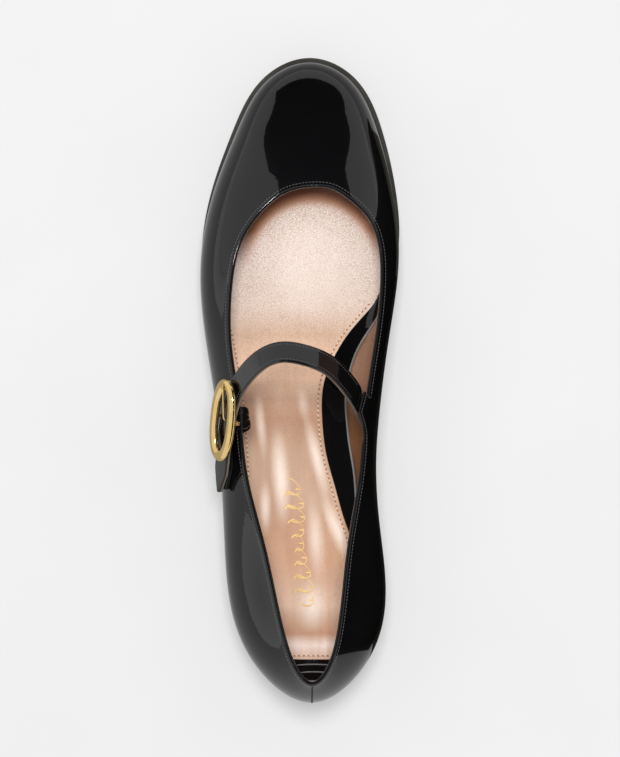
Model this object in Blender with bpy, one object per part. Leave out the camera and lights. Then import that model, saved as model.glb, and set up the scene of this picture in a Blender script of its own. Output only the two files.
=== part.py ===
"""Ballet flat with an instep strap: left shoe, size 37, in metres, +Z up.

+Y points to the toe, -X to the outer side that carries the buckle.
The ground is z = 0 and the origin lies under the middle of the shoe's box.
"""

from collections import namedtuple
from math import cos, pi, radians, sin

import bmesh
import bpy
import numpy as np
from mathutils import Matrix, Vector
from mathutils.bvhtree import BVHTree

MM = 0.001

# Driving dimensions, in millimetres.
PLAN_CENTRE = (-4.64, 0.08, 0.0)  # middle of the finished shoe in the axes of SECTIONS
GAP = 0.3  # left between neighbours that touch
WALL = 1.8  # outer, stiffener and lining together
LASTING_MARGIN = 6.0  # upper turned in under the insole
FEATHER_EDGE = 1.0  # chamfer where the wall turns under
SOLE_THICKNESS = 3.0
INSOLE_THICKNESS = 2.2
INSOLE_CLEARANCE = 3.4  # insole edge inside the feather line
SEAT_HEIGHT = 7.0  # underside of the sole at the heel
TOE_SPRING = 6.5  # underside of the sole at the toe tip
SEAT_FRONT_Y = -62.0  # the flat heel seat starts here
TREAD_REAR_Y = 34.0  # the flat tread lies between these two
TREAD_FRONT_Y = 62.0
TOE_TIP_Y = 125.0
HEEL_BREAST_Y = -66.0
HEEL_BREAST_HOLLOW = 4.0
HEEL_EDGE_IN = 0.8  # top piece inside the edge of the sole
SOLE_BEVEL = 0.5
INSOLE_BEVEL = 0.4
STRAP_WIDTH = 8.6
STRAP_THICKNESS = 1.8
STRAP_STEP = 2.2  # between the strap's stations
TAB_WIDTH = 8.8
TAB_THICKNESS = 1.5
TAB_STEP = 1.1
TAB_FOLD_RADIUS = 3.1  # middle of the tab round the topline's rim
TAB_FOLD_SET_IN = 0.6  # the fold's middle stands this far inside the rim's
TIP_WIDTH = 2.4  # blunt points of strap and tab
TIP_LENGTH = 8.0
TIP_CURVE = 0.8
BAND_EDGE = 0.35  # chamfer of the strap's and the tab's edges
BUCKLE_LENGTH = 32.0
BUCKLE_WIDTH = 15.8
BUCKLE_BAND = 3.2
BUCKLE_THICKNESS = 1.8
BUCKLE_EDGE = 0.4  # chamfer of the ring's band
OVAL_POWER = 0.87  # 1 is an ellipse, less is squarer
BUCKLE_PLACE_Y = -15.0
BUCKLE_TURN = 11.0  # degrees that the ring hangs turned on the strap
BUCKLE_LIFT = 2.3  # middle of the ring above the middle of the strap
BAR_DIAMETER = 1.6
BAR_SPLAY = 0.5  # the bar's ends lean out to the ring
BAR_ELBOW = 0.2  # height of its bends above the strap's middle
PRONG_DIAMETER = 1.5
PRONG_HOLE = 2.3
OVERLAP = 0.2  # of the prong's stem and blade

RUN_ON = 1.3  # the wall's curve carried on past the topline, where bands lie against it

# Fineness of the meshes.
RUN_ON_RINGS = 53
UPPER_STATIONS = 72
WALL_STEPS = 11
SOLE_STATIONS = 96
SLICE_LENGTH = 6.0
RING_STATIONS = 40
ROD_SIDES = 10
BREAST_STEPS = 8

Section = namedtuple(
    "Section",
    "name outline_x outline_y upper_in feather_in sole_in belly_z shoulder shoulder_z top_x top_y top_z",
)
# One row for each section round the shoe, toe first, then outer side, heel and inner side.
# outline: plan of the whole shoe.  upper_in, feather_in, sole_in: how far the upper's widest line,
# the feather line and the sole's edge lie inside it.  belly_z and shoulder_z: heights of the two
# control points of the wall.  shoulder: share of the way from topline to outline.  top: topline.
SECTIONS = (
    Section("toe_tip", -0.4, 125.0, 2.1, 3.2, 0.0, 25.0, 0.55, 33.0, 0.5, 74.3, 39.0),
    Section("toe_outer", -18.6, 117.6, 2.1, 3.2, 0.0, 24.5, 0.55, 32.5, -7.4, 73.0, 38.6),
    Section("vamp_outer", -31.4, 96.0, 1.9, 3.0, 0.0, 23.0, 0.52, 31.5, -16.0, 68.0, 37.5),
    Section("ball_front_outer", -40.4, 71.0, 1.6, 3.2, 0.3, 21.0, 0.48, 30.0, -25.0, 57.7, 35.5),
    Section("ball_outer", -44.3, 43.0, 1.0, 3.8, 1.0, 19.0, 0.42, 29.0, -30.8, 41.4, 34.0),
    Section("waist_front_outer", -41.5, 15.0, 0.3, 4.5, 2.6, 19.0, 0.38, 30.5, -31.9, 14.8, 35.5),
    Section("waist_outer", -37.2, -9.7, 0.0, 4.8, 3.6, 21.0, 0.34, 34.0, -28.6, -8.9, 39.0),
    Section("waist_rear_outer", -35.0, -35.0, 0.0, 4.6, 3.6, 23.0, 0.34, 36.5, -25.9, -34.4, 42.0),
    Section("heel_front_outer", -33.6, -65.0, 0.0, 4.8, 3.8, 25.0, 0.36, 39.5, -18.5, -63.8, 46.5),
    Section("heel_outer", -30.7, -90.5, 0.0, 4.6, 3.6, 26.0, 0.37, 42.0, -12.9, -88.6, 50.0),
    Section("heel_corner_outer", -20.6, -112.0, 0.0, 4.4, 3.4, 26.0, 0.38, 43.5, -7.3, -107.8, 52.5),
    Section("heel_back", 0.5, -125.0, 0.0, 4.2, 3.2, 26.0, 0.40, 44.0, 1.2, -116.6, 54.0),
    Section("heel_corner_inner", 19.8, -112.0, 0.0, 4.4, 3.4, 26.0, 0.38, 43.5, 9.0, -107.8, 52.5),
    Section("heel_inner", 28.3, -90.5, 0.0, 4.8, 3.8, 26.0, 0.37, 42.0, 13.0, -88.6, 50.0),
    Section("heel_front_inner", 27.6, -65.0, 0.0, 6.4, 5.4, 25.0, 0.37, 39.5, 15.8, -63.8, 47.0),
    Section("waist_rear_inner", 25.2, -35.0, 0.0, 8.8, 7.8, 24.0, 0.38, 37.5, 20.4, -35.4, 44.0),
    Section("waist_inner", 26.8, -9.7, 0.0, 11.5, 10.5, 23.0, 0.40, 35.5, 22.7, -9.5, 42.0),
    Section("waist_front_inner", 30.3, 15.0, 0.3, 10.2, 8.6, 21.0, 0.42, 32.0, 26.2, 14.8, 37.5),
    Section("ball_inner", 34.9, 50.0, 1.0, 4.6, 1.4, 19.0, 0.42, 29.5, 27.9, 48.5, 34.0),
    Section("ball_front_inner", 33.4, 71.0, 1.6, 3.4, 0.4, 21.0, 0.48, 30.0, 23.6, 61.5, 35.5),
    Section("vamp_inner", 27.6, 96.0, 1.9, 3.0, 0.0, 23.0, 0.52, 31.5, 14.6, 70.2, 37.5),
    Section("toe_inner", 16.3, 117.6, 2.1, 3.2, 0.0, 24.5, 0.55, 32.5, 7.3, 73.9, 38.6),
)

BandRow = namedtuple("BandRow", "x y z out_x out_y out_z")
WallRow = namedtuple("WallRow", "side y z offset")

# The strap's middle line: up out of the inner quarter and over the instep to the outer side.
STRAP_SEWN = -WALL - GAP - STRAP_THICKNESS / 2 - 0.2  # lies on the inner face of the quarter
STRAP_INNER_END = (
    WallRow("inner", -19.0, 31.0, STRAP_SEWN),
    WallRow("inner", -15.0, 37.0, STRAP_SEWN),
    WallRow("inner", -11.5, 42.4, STRAP_SEWN - 0.2),
)
STRAP_ARCH = (
    BandRow(17.6, -7.0, 49.0, 0.80, 0.05, 0.60),
    BandRow(12.7, 0.0, 56.3, 0.62, 0.22, 0.75),
    BandRow(7.4, 5.0, 61.0, 0.38, 0.36, 0.85),
    BandRow(-2.0, 8.9, 65.0, 0.08, 0.45, 0.89),
    BandRow(-10.8, 9.9, 64.7, -0.18, 0.42, 0.89),
    BandRow(-17.6, 7.4, 61.2, -0.42, 0.32, 0.85),
    BandRow(-22.8, 3.0, 56.2, -0.64, 0.18, 0.75),
    BandRow(-27.3, -3.2, 51.0, -0.78, 0.07, 0.62),
    BandRow(-29.7, -9.8, 47.3, -0.82, 0.01, 0.57),
    BandRow(-31.6, -16.8, 43.9, -0.82, 0.00, 0.57),
    BandRow(-32.9, -24.0, 40.3, -0.83, 0.00, 0.55),
)
STACK_ON_TAB = GAP + TAB_THICKNESS + GAP + STRAP_THICKNESS / 2
STRAP_OUTER_END = (
    WallRow("outer", -31.0, 35.2, STACK_ON_TAB + 0.7),
    WallRow("outer", -37.5, 32.5, STACK_ON_TAB + 0.15),
    WallRow("outer", -43.2, 30.6, STACK_ON_TAB + 0.1),
)
# The buckle's tab: up the inside of the quarter, over the topline, then down and back outside.
TAB_SEWN = -WALL - GAP - TAB_THICKNESS / 2 - 0.3
TAB_INNER_END = (
    WallRow("outer", -18.2, 28.5, TAB_SEWN),
    WallRow("outer", -17.7, 33.5, TAB_SEWN),
)
TAB_OUTSIDE = GAP + TAB_THICKNESS / 2
TAB_OUTER_END = (
    WallRow("outer", -18.9, 36.0, TAB_OUTSIDE + 0.4),
    WallRow("outer", -23.0, 33.9, TAB_OUTSIDE + 0.2),
    WallRow("outer", -29.0, 33.3, TAB_OUTSIDE),
    WallRow("outer", -36.0, 32.8, TAB_OUTSIDE),
    WallRow("outer", -42.4, 31.8, TAB_OUTSIDE),
)
TAB_FOLD_Y = -17.0
TAB_FOLD_RAKE = 0.2  # sideways run of the tab on each side of its fold


# ---------------------------------------------------------------- curves


def spline_moments(knots, values, closed):
    """Return the second derivatives of the cubic spline through the values at the knots."""
    count = len(values)
    steps = np.diff(knots)
    system = np.eye(count)
    right = np.zeros(values.shape)
    rows = range(count) if closed else range(1, count - 1)
    for row in rows:
        before = steps[row - 1]
        after = steps[row]
        previous = (row - 1) % count
        following = (row + 1) % count
        system[row] = 0.0
        system[row, previous] = before
        system[row, row] = 2.0 * (before + after)
        system[row, following] = after
        rise = (values[following] - values[row]) / after
        fall = (values[row] - values[previous]) / before
        right[row] = 6.0 * (rise - fall)
    return np.linalg.solve(system, right)


def spline_points(knots, values, places, closed=False):
    """Sample the cubic spline through rows of values; a closed one has one knot more than rows."""
    knots = np.asarray(knots, float)
    values = np.asarray(values, float)
    moments = spline_moments(knots, values, closed)
    if closed:
        places = np.mod(places, knots[-1])
        values = np.vstack([values, values[:1]])
        moments = np.vstack([moments, moments[:1]])
    span = np.clip(np.searchsorted(knots, places, side="right") - 1, 0, len(knots) - 2)
    step = (knots[span + 1] - knots[span])[:, None]
    near = ((places - knots[span])[:, None]) / step
    far = 1.0 - near
    bend = (far**3 - far) * moments[span] + (near**3 - near) * moments[span + 1]
    return far * values[span] + near * values[span + 1] + bend * step**2 / 6.0


def chord_knots(points, closed=False):
    """Return the running chord length through the points, with the closing chord if closed."""
    points = np.asarray(points, float)
    if closed:
        points = np.vstack([points, points[:1]])
    return np.concatenate([[0.0], np.cumsum(np.linalg.norm(np.diff(points, axis=0), axis=1))])


def unit(vectors):
    """Scale each row to length one."""
    return vectors / np.linalg.norm(vectors, axis=-1, keepdims=True)


def smooth_step(share):
    """Ease from 0 to 1 with level ends."""
    share = min(max(share, 0.0), 1.0)
    return share * share * (3.0 - 2.0 * share)


# ---------------------------------------------------------------- form of the shoe


def sole_bottom(y):
    """Return the height of the sole's underside: flat tread, toe spring, rising waist, flat seat."""
    if y > TREAD_FRONT_Y:
        return TOE_SPRING * ((y - TREAD_FRONT_Y) / (TOE_TIP_Y - TREAD_FRONT_Y)) ** 2
    if y < TREAD_REAR_Y:
        return SEAT_HEIGHT * smooth_step((TREAD_REAR_Y - y) / (TREAD_REAR_Y - SEAT_FRONT_Y))
    return 0.0


def sole_top(y):
    """Return the height of the sole's upper face."""
    return sole_bottom(y) + SOLE_THICKNESS


def section_rows(stations):
    """Sample every column of SECTIONS at equal steps round the outline.

    Returns:
        A dictionary from column name to array, with the outline's outward normals as out_x, out_y.
    """
    columns = Section._fields[1:]
    table = np.array([row[1:] for row in SECTIONS])
    knots = chord_knots(table[:, :2], closed=True)
    places = np.linspace(0.0, knots[-1], stations, endpoint=False)
    sampled = spline_points(knots, table, places, closed=True)
    rows = {name: sampled[:, index] for index, name in enumerate(columns)}
    nudge = knots[-1] * 1e-4
    ahead = spline_points(knots, table[:, :2], places + nudge, closed=True)
    behind = spline_points(knots, table[:, :2], places - nudge, closed=True)
    tangent = unit(ahead - behind)
    rows["out_x"] = tangent[:, 1]
    rows["out_y"] = -tangent[:, 0]
    return rows


def inset_outline(rows, inset):
    """Return the plan points that lie inside the outline by the inset."""
    outline = np.column_stack([rows["outline_x"], rows["outline_y"]])
    outward = np.column_stack([rows["out_x"], rows["out_y"]])
    return outline - outward * np.asarray(inset).reshape(-1, 1)


def bezier(controls, share):
    """Return the point of a cubic Bezier curve; controls are four arrays."""
    rest = 1.0 - share
    weights = (rest**3, 3 * rest**2 * share, 3 * rest * share**2, share**3)
    return sum(weight * control for weight, control in zip(weights, controls))


def belly_push(feather, shoulder, top):
    """Return the reach of the belly's control point that brings the wall just out to 0."""
    shares = np.linspace(0.0, 1.0, 81)
    low = 0.0
    high = 60.0
    for _ in range(40):
        middle = (low + high) / 2
        reach = bezier((feather, middle, shoulder, top), shares).max()
        if reach > 0.0:
            high = middle
        else:
            low = middle
    return middle


def wall_controls(rows):
    """Return the four control points of the wall's curve, each an array with a row per station."""
    stations = len(rows["outline_x"])
    widest = inset_outline(rows, rows["upper_in"])
    feather = inset_outline(rows, rows["feather_in"])
    outward = np.column_stack([rows["out_x"], rows["out_y"]])
    top = np.column_stack([rows["top_x"], rows["top_y"]])
    shoulder = top + (widest - top) * rows["shoulder"].reshape(-1, 1)
    feather_reach = ((feather - widest) * outward).sum(axis=1)
    shoulder_reach = ((shoulder - widest) * outward).sum(axis=1)
    top_reach = ((top - widest) * outward).sum(axis=1)
    pushes = [
        belly_push(feather_reach[index], shoulder_reach[index], top_reach[index])
        for index in range(stations)
    ]
    belly = widest + outward * np.array(pushes).reshape(-1, 1)
    feather_z = np.array([sole_top(y) + GAP for y in feather[:, 1]])
    return (
        np.column_stack([feather, feather_z]),
        np.column_stack([belly, rows["belly_z"]]),
        np.column_stack([shoulder, rows["shoulder_z"]]),
        np.column_stack([top, rows["top_z"]]),
    )


def wall_points(controls, share):
    """Return the outer wall's points at a share of the way up; share is one number or one a row."""
    share = np.asarray(share, float)
    if share.ndim:
        share = share.reshape(-1, 1)
    return bezier(controls, share)


def wall_normals(controls, share):
    """Return the outer wall's unit normals, pointing out."""
    share = np.asarray(share, float)
    nudge = 1e-4
    up = wall_points(controls, share + nudge) - wall_points(controls, share - nudge)
    here = wall_points(controls, share)
    along = np.roll(here, -1, axis=0) - np.roll(here, 1, axis=0)
    return unit(np.cross(along, up))


def inner_wall_start(controls):
    """Return the share at which each station's inner wall face leaves the lasting margin."""
    low = np.zeros(len(controls[0]))
    high = np.full(len(controls[0]), 0.6)
    for _ in range(30):
        middle = (low + high) / 2
        inner = wall_points(controls, middle) - WALL * wall_normals(controls, middle)
        floor_z = np.array([sole_top(y) + GAP + WALL for y in inner[:, 1]])
        above = inner[:, 2] > floor_z
        high = np.where(above, middle, high)
        low = np.where(above, low, middle)
    return high


# ---------------------------------------------------------------- meshes


def material(name, colour, roughness, metallic=0.0):
    """Make a plain material."""
    made = bpy.data.materials.new(name)
    made.use_nodes = True
    shader = made.node_tree.nodes["Principled BSDF"]
    shader.inputs["Base Color"].default_value = (*colour, 1.0)
    shader.inputs["Roughness"].default_value = roughness
    shader.inputs["Metallic"].default_value = metallic
    return made


def place(points):
    """Turn millimetres in the axes of SECTIONS into the part's own metres."""
    return (np.asarray(points, float) - PLAN_CENTRE) * MM


def add_object(name, mesh, look):
    """Link a mesh as a named object with its material, shaded smooth between sharp edges."""
    mesh.materials.append(look)
    mesh.shade_smooth()
    mesh.set_sharp_from_angle(angle=pi / 5)
    made = bpy.data.objects.new(name, mesh)
    bpy.context.scene.collection.objects.link(made)
    return made


def ring_faces(count, around, closed_across=False):
    """Return the corner numbers of the faces that skin a row of rings."""
    faces = []
    for row in range(count if closed_across else count - 1):
        start = row * around
        next_start = (row + 1) % count * around
        for column in range(around):
            next_column = (column + 1) % around
            faces.append(
                (start + column, start + next_column, next_start + next_column, next_start + column)
            )
    return faces


def ring_mesh(name, rings, closed_across=False):
    """Skin a row of rings of points; the first and last are joined or capped."""
    rings = [place(ring) for ring in rings]
    around = len(rings[0])
    vertices = [tuple(point) for ring in rings for point in ring]
    faces = ring_faces(len(rings), around, closed_across)
    if not closed_across:
        faces.append(tuple(reversed(range(around))))
        faces.append(tuple(range((len(rings) - 1) * around, len(rings) * around)))
    mesh = bpy.data.meshes.new(name)
    mesh.from_pydata(vertices, [], faces)
    return outward_mesh(mesh)


def outward_mesh(mesh):
    """Turn a closed mesh's faces to point out."""
    form = bmesh.new()
    form.from_mesh(mesh)
    bmesh.ops.recalc_face_normals(form, faces=form.faces)
    if form.calc_volume(signed=True) < 0:
        bmesh.ops.reverse_faces(form, faces=form.faces)
    form.to_mesh(mesh)
    form.free()
    return mesh


def slab_mesh(name, outline, bottom_z, top_z, bevel):
    """Make a plate with the given plan whose faces follow two heights along the shoe."""
    form = bmesh.new()
    corners = [form.verts.new((x, y, 0.0)) for x, y in outline]
    form.faces.new(corners)
    first_y = min(y for _, y in outline)
    last_y = max(y for _, y in outline)
    for cut_y in np.arange(first_y + SLICE_LENGTH / 2, last_y, SLICE_LENGTH):
        geometry = form.verts[:] + form.edges[:] + form.faces[:]
        bmesh.ops.bisect_plane(form, geom=geometry, plane_co=(0, cut_y, 0), plane_no=(0, 1, 0))
    extruded = bmesh.ops.extrude_face_region(form, geom=form.faces[:])
    raised = {item for item in extruded["geom"] if isinstance(item, bmesh.types.BMVert)}
    for vertex in form.verts:
        height = top_z if vertex in raised else bottom_z
        vertex.co.z = height(vertex.co.y)
    rims = [
        edge
        for edge in form.edges
        if (edge.verts[0] in raised) == (edge.verts[1] in raised)
        and edge.calc_face_angle(0.0) > pi / 3
    ]
    bmesh.ops.bevel(form, geom=rims, offset=bevel, segments=1, affect="EDGES")
    for vertex in form.verts:
        vertex.co = Vector(place(vertex.co))
    mesh = bpy.data.meshes.new(name)
    form.to_mesh(mesh)
    form.free()
    return outward_mesh(mesh)


# ---------------------------------------------------------------- upper, soles and heel


def upper_profile(controls):
    """Return the closed profile round the wall's thickness as a list of rings about the shoe."""
    feather = controls[0]
    along = unit((np.roll(feather, -1, axis=0) - np.roll(feather, 1, axis=0))[:, :2])
    inward = np.column_stack([-along[:, 1], along[:, 0]])

    def margin_ring(distance, rise):
        """Return a ring inside the feather line, at a rise above the sole."""
        plan = feather[:, :2] + inward * distance
        heights = [sole_top(y) + rise for y in plan[:, 1]]
        return np.column_stack([plan, heights])

    rings = [margin_ring(LASTING_MARGIN, GAP), margin_ring(FEATHER_EDGE, GAP)]
    for step in range(WALL_STEPS + 1):
        share = step / WALL_STEPS
        ring = wall_points(controls, share)
        if step == 0:
            ring = ring + (0.0, 0.0, FEATHER_EDGE / 2)
        rings.append(ring)
    start = inner_wall_start(controls)
    for step in range(WALL_STEPS, -1, -1):
        share = start + (1.0 - start) * step / WALL_STEPS
        rings.append(wall_points(controls, share) - WALL * wall_normals(controls, share))
    rings.append(margin_ring(LASTING_MARGIN, GAP + WALL))
    return rings


def make_upper(look):
    """Make the upper: one hollow shell, open at the collar and underneath."""
    controls = wall_controls(section_rows(UPPER_STATIONS))
    mesh = ring_mesh("upper", upper_profile(controls), closed_across=True)
    return add_object("upper", mesh, look)


def make_outsole(look):
    """Make the outsole: its outline, tread, waist, heel seat and toe spring."""
    rows = section_rows(SOLE_STATIONS)
    outline = inset_outline(rows, rows["sole_in"])
    mesh = slab_mesh("outsole", outline, sole_bottom, sole_top, SOLE_BEVEL)
    return add_object("outsole", mesh, look)


def make_insole(look):
    """Make the insole board with its cover, resting on the lasting margin."""
    rows = section_rows(SOLE_STATIONS)
    outline = inset_outline(rows, rows["feather_in"] + INSOLE_CLEARANCE)
    rise = GAP + WALL + GAP

    def underside(y):
        """Return the height of the insole's lower face."""
        return sole_top(y) + rise

    def upper_face(y):
        """Return the height of the insole's upper face."""
        return sole_top(y) + rise + INSOLE_THICKNESS

    mesh = slab_mesh("insole", outline, underside, upper_face, INSOLE_BEVEL)
    return add_object("insole", mesh, look)


def make_heel(look):
    """Make the low heel block under the seat, with a hollowed breast."""
    rows = section_rows(SOLE_STATIONS)
    edge = inset_outline(rows, rows["sole_in"] + HEEL_EDGE_IN)
    rear = [tuple(point) for point in edge if point[1] < HEEL_BREAST_Y]
    outer_end = rear[0]
    inner_end = rear[-1]
    breast = []
    for step in range(1, BREAST_STEPS):
        share = step / BREAST_STEPS
        x = inner_end[0] + (outer_end[0] - inner_end[0]) * share
        y = inner_end[1] + (outer_end[1] - inner_end[1]) * share
        breast.append((x, y - HEEL_BREAST_HOLLOW * sin(pi * share)))

    def ground(_):
        """Return the height of the heel's underside."""
        return 0.0

    def seat(_):
        """Return the height of the heel's upper face."""
        return SEAT_HEIGHT - GAP

    return add_object("heel", slab_mesh("heel", rear + breast, ground, seat, SOLE_BEVEL), look)


# ---------------------------------------------------------------- strap, tab and buckle


class WallFinder:
    """Finds points from the side on the upper's outer face and its run on above the topline."""

    def __init__(self):
        controls = wall_controls(section_rows(UPPER_STATIONS * 2))
        shares = np.linspace(0.0, RUN_ON, RUN_ON_RINGS)
        rings = [wall_points(controls, share) for share in shares]
        vertices = [tuple(point) for ring in rings for point in ring]
        self.tree = BVHTree.FromPolygons(vertices, ring_faces(len(rings), len(rings[0])))

    def row(self, wall_row):
        """Return the band row that a wall row stands for."""
        sign = -1.0 if wall_row.side == "outer" else 1.0
        start = Vector((sign * 100.0, wall_row.y, wall_row.z))
        hit, normal, _, _ = self.tree.ray_cast(start, Vector((-sign, 0, 0)))
        if normal.x * sign < 0:
            normal = -normal
        spot = hit + normal * wall_row.offset
        return BandRow(*spot, *normal)


def band_frames(rows, station_length):
    """Return the places along a band, with its points and its outward and sideways directions."""
    table = np.array(rows)
    knots = chord_knots(table[:, :3])
    stations = round(knots[-1] / station_length)
    places = np.linspace(0.0, knots[-1], stations + 1)
    sampled = spline_points(knots, table, places)
    points = sampled[:, :3]
    tangents = unit(np.gradient(points, places, axis=0))
    outward = sampled[:, 3:]
    outward = unit(outward - tangents * (outward * tangents).sum(axis=1, keepdims=True))
    sideways = np.cross(outward, tangents)
    return places, points, outward, sideways


def chamfered_section(half_width, half_thick, edge):
    """Return the eight corners (across, up) of a flat band's section with chamfered edges."""
    return (
        (-half_width, -half_thick + edge),
        (-half_width + edge, -half_thick),
        (half_width - edge, -half_thick),
        (half_width, -half_thick + edge),
        (half_width, half_thick - edge),
        (half_width - edge, half_thick),
        (-half_width + edge, half_thick),
        (-half_width, half_thick - edge),
    )


def band_mesh(name, rows, width, thickness, station_length):
    """Sweep a flat band of leather along its rows; the last end tapers to a blunt point."""
    places, points, outward, sideways = band_frames(rows, station_length)
    rings = []
    for place_along, point, out, side in zip(places, points, outward, sideways):
        left = min((places[-1] - place_along) / TIP_LENGTH, 1.0)
        half = (TIP_WIDTH + (width - TIP_WIDTH) * left**TIP_CURVE) / 2
        edge = min(BAND_EDGE, half / 3)
        rings.append(
            [
                point + side * across + out * lift
                for across, lift in chamfered_section(half, thickness / 2, edge)
            ]
        )
    return ring_mesh(name, rings)


def strap_rows(finder):
    """Return every row of the strap's middle line."""
    inner = [finder.row(row) for row in STRAP_INNER_END]
    outer = [finder.row(row) for row in STRAP_OUTER_END]
    return inner + list(STRAP_ARCH) + outer


def tab_rows(finder):
    """Return every row of the buckle tab's middle line, with its fold over the topline."""
    outer = [finder.row(row) for row in TAB_OUTER_END]
    inner = []
    for row in TAB_INNER_END:
        found = finder.row(row)
        inner.append(found._replace(out_x=-found.out_x, out_y=-found.out_y, out_z=-found.out_z))
    controls = wall_controls(section_rows(UPPER_STATIONS * 2))
    top = wall_points(controls, 1.0)
    normals = wall_normals(controls, 1.0)
    nearest = np.argmin(abs(top[:, 1] - TAB_FOLD_Y) + 100.0 * (top[:, 0] > 0.0))
    out = normals[nearest]
    rise = unit(np.array((-out[2], 0.0, -out[0])) * np.sign(-out[0]))
    rim = top[nearest] - out * (WALL / 2 + TAB_FOLD_SET_IN)
    fold = []
    for turn, shift in ((-pi / 2, TAB_FOLD_RAKE), (0.0, 0.0), (pi / 2, -TAB_FOLD_RAKE)):
        direction = rise * cos(turn) + out * sin(turn)
        spot = rim + direction * TAB_FOLD_RADIUS + (0.0, shift, 0.0)
        fold.append(BandRow(*spot, *direction))
    return inner + fold + outer


def local_frame(finder):
    """Return the matrix whose origin is the strap's middle under the buckle.

    Its X runs down along the buckle, its Y across it and its Z out of the shoe.
    """
    rows = strap_rows(finder)
    _, points, outward, sideways = band_frames(rows, STRAP_STEP)
    outer = points[:, 0] < 0.0
    index = np.flatnonzero(outer)[np.argmin(abs(points[outer][:, 1] - BUCKLE_PLACE_Y))]
    out = Vector(outward[index])
    side = Vector(sideways[index])
    along = side.cross(out)
    frame = Matrix((along, side, out)).transposed().to_4x4()
    frame.translation = Vector(points[index])
    return frame @ Matrix.Rotation(radians(BUCKLE_TURN), 4, "Z")


def rod_rings(path, diameter):
    """Return the rings of a round rod along a path that lies in one plane."""
    rings = []
    last = len(path) - 1
    first_axis = path[1] - path[0]
    helper = Vector((1, 0, 0)) if abs(first_axis.x) < first_axis.length / 2 else Vector((0, 1, 0))
    for index, centre in enumerate(path):
        axis = (path[min(index + 1, last)] - path[max(index - 1, 0)]).normalized()
        across = axis.cross(helper).normalized()
        ring = []
        for step in range(ROD_SIDES):
            turn = 2 * pi * step / ROD_SIDES
            ring.append(centre + (helper * cos(turn) + across * sin(turn)) * diameter / 2)
        rings.append(ring)
    return rings


def frame_rings():
    """Return the rings of the buckle's oval, in the buckle's own axes."""
    half_length = (BUCKLE_LENGTH - BUCKLE_BAND) / 2
    half_width = (BUCKLE_WIDTH - BUCKLE_BAND) / 2
    rings = []
    for step in range(RING_STATIONS):
        turn = 2 * pi * step / RING_STATIONS
        along = abs(cos(turn)) ** OVAL_POWER * (1 if cos(turn) >= 0 else -1)
        across = abs(sin(turn)) ** OVAL_POWER * (1 if sin(turn) >= 0 else -1)
        outward = Vector((along / half_length, across / half_width, 0)).normalized()
        centre = Vector((along * half_length, across * half_width, BUCKLE_LIFT))
        half_band = BUCKLE_BAND / 2
        half_thick = BUCKLE_THICKNESS / 2
        rings.append(
            [
                centre + outward * across_band + Vector((0, 0, up))
                for across_band, up in chamfered_section(half_band, half_thick, BUCKLE_EDGE)
            ]
        )
    return rings


def moved(rings, matrix):
    """Return rings of points moved by a matrix."""
    return [[tuple(matrix @ Vector(point)) for point in ring] for ring in rings]


def cutter(name, mesh):
    """Make a hidden helper for a Boolean."""
    made = bpy.data.objects.new(name, mesh)
    bpy.context.scene.collection.objects.link(made)
    made.hide_render = True
    made.display_type = "WIRE"
    return made


def add_boolean(target, helper, operation):
    """Join or cut a helper with a target."""
    step = target.modifiers.new(helper.name, "BOOLEAN")
    step.operation = operation
    step.solver = "EXACT"
    step.object = helper


def make_buckle(finder, look):
    """Make the buckle: oval ring, cross bar and prong in one."""
    frame = local_frame(finder)
    ring = ring_mesh("buckle", moved(frame_rings(), frame), closed_across=True)
    made = add_object("buckle", ring, look)
    bar_z = -STRAP_THICKNESS / 2 - GAP - BAR_DIAMETER / 2
    reach = (BUCKLE_WIDTH - BUCKLE_BAND) / 2
    foot = STRAP_WIDTH / 2 + GAP + BAR_DIAMETER / 2
    half_path = ((foot, bar_z), (foot + BAR_SPLAY, BAR_ELBOW), (reach, BUCKLE_LIFT))
    path = [(-across, lift) for across, lift in reversed(half_path)] + list(half_path)
    bar = rod_rings([Vector((0, across, lift)) for across, lift in path], BAR_DIAMETER)
    add_boolean(made, cutter("cross_bar", ring_mesh("cross_bar", moved(bar, frame))), "UNION")
    prong_z = STRAP_THICKNESS / 2 + GAP + PRONG_DIAMETER / 2
    stem = rod_rings([Vector((0, 0, bar_z)), Vector((0, 0, prong_z + OVERLAP))], PRONG_DIAMETER)
    add_boolean(made, cutter("prong_stem", ring_mesh("prong_stem", moved(stem, frame))), "UNION")
    tip = Vector((-(BUCKLE_LENGTH - BUCKLE_BAND) / 2, 0, BUCKLE_LIFT + BUCKLE_THICKNESS / 2))
    blade = rod_rings([Vector((2 * OVERLAP, 0, prong_z)), tip], PRONG_DIAMETER)
    add_boolean(made, cutter("prong", ring_mesh("prong", moved(blade, frame))), "UNION")
    return made


def make_strap(finder, look):
    """Make the instep strap with the hole for the prong."""
    mesh = band_mesh("strap", strap_rows(finder), STRAP_WIDTH, STRAP_THICKNESS, STRAP_STEP)
    made = add_object("strap", mesh, look)
    frame = local_frame(finder)
    hole = rod_rings([Vector((0, 0, -STRAP_THICKNESS)), Vector((0, 0, STRAP_THICKNESS))], PRONG_HOLE)
    add_boolean(made, cutter("prong_hole", ring_mesh("prong_hole", moved(hole, frame))), "DIFFERENCE")
    return made


def make_tab(finder, look):
    """Make the leather tab that carries the buckle."""
    mesh = band_mesh("buckle_tab", tab_rows(finder), TAB_WIDTH, TAB_THICKNESS, TAB_STEP)
    return add_object("buckle_tab", mesh, look)


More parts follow.
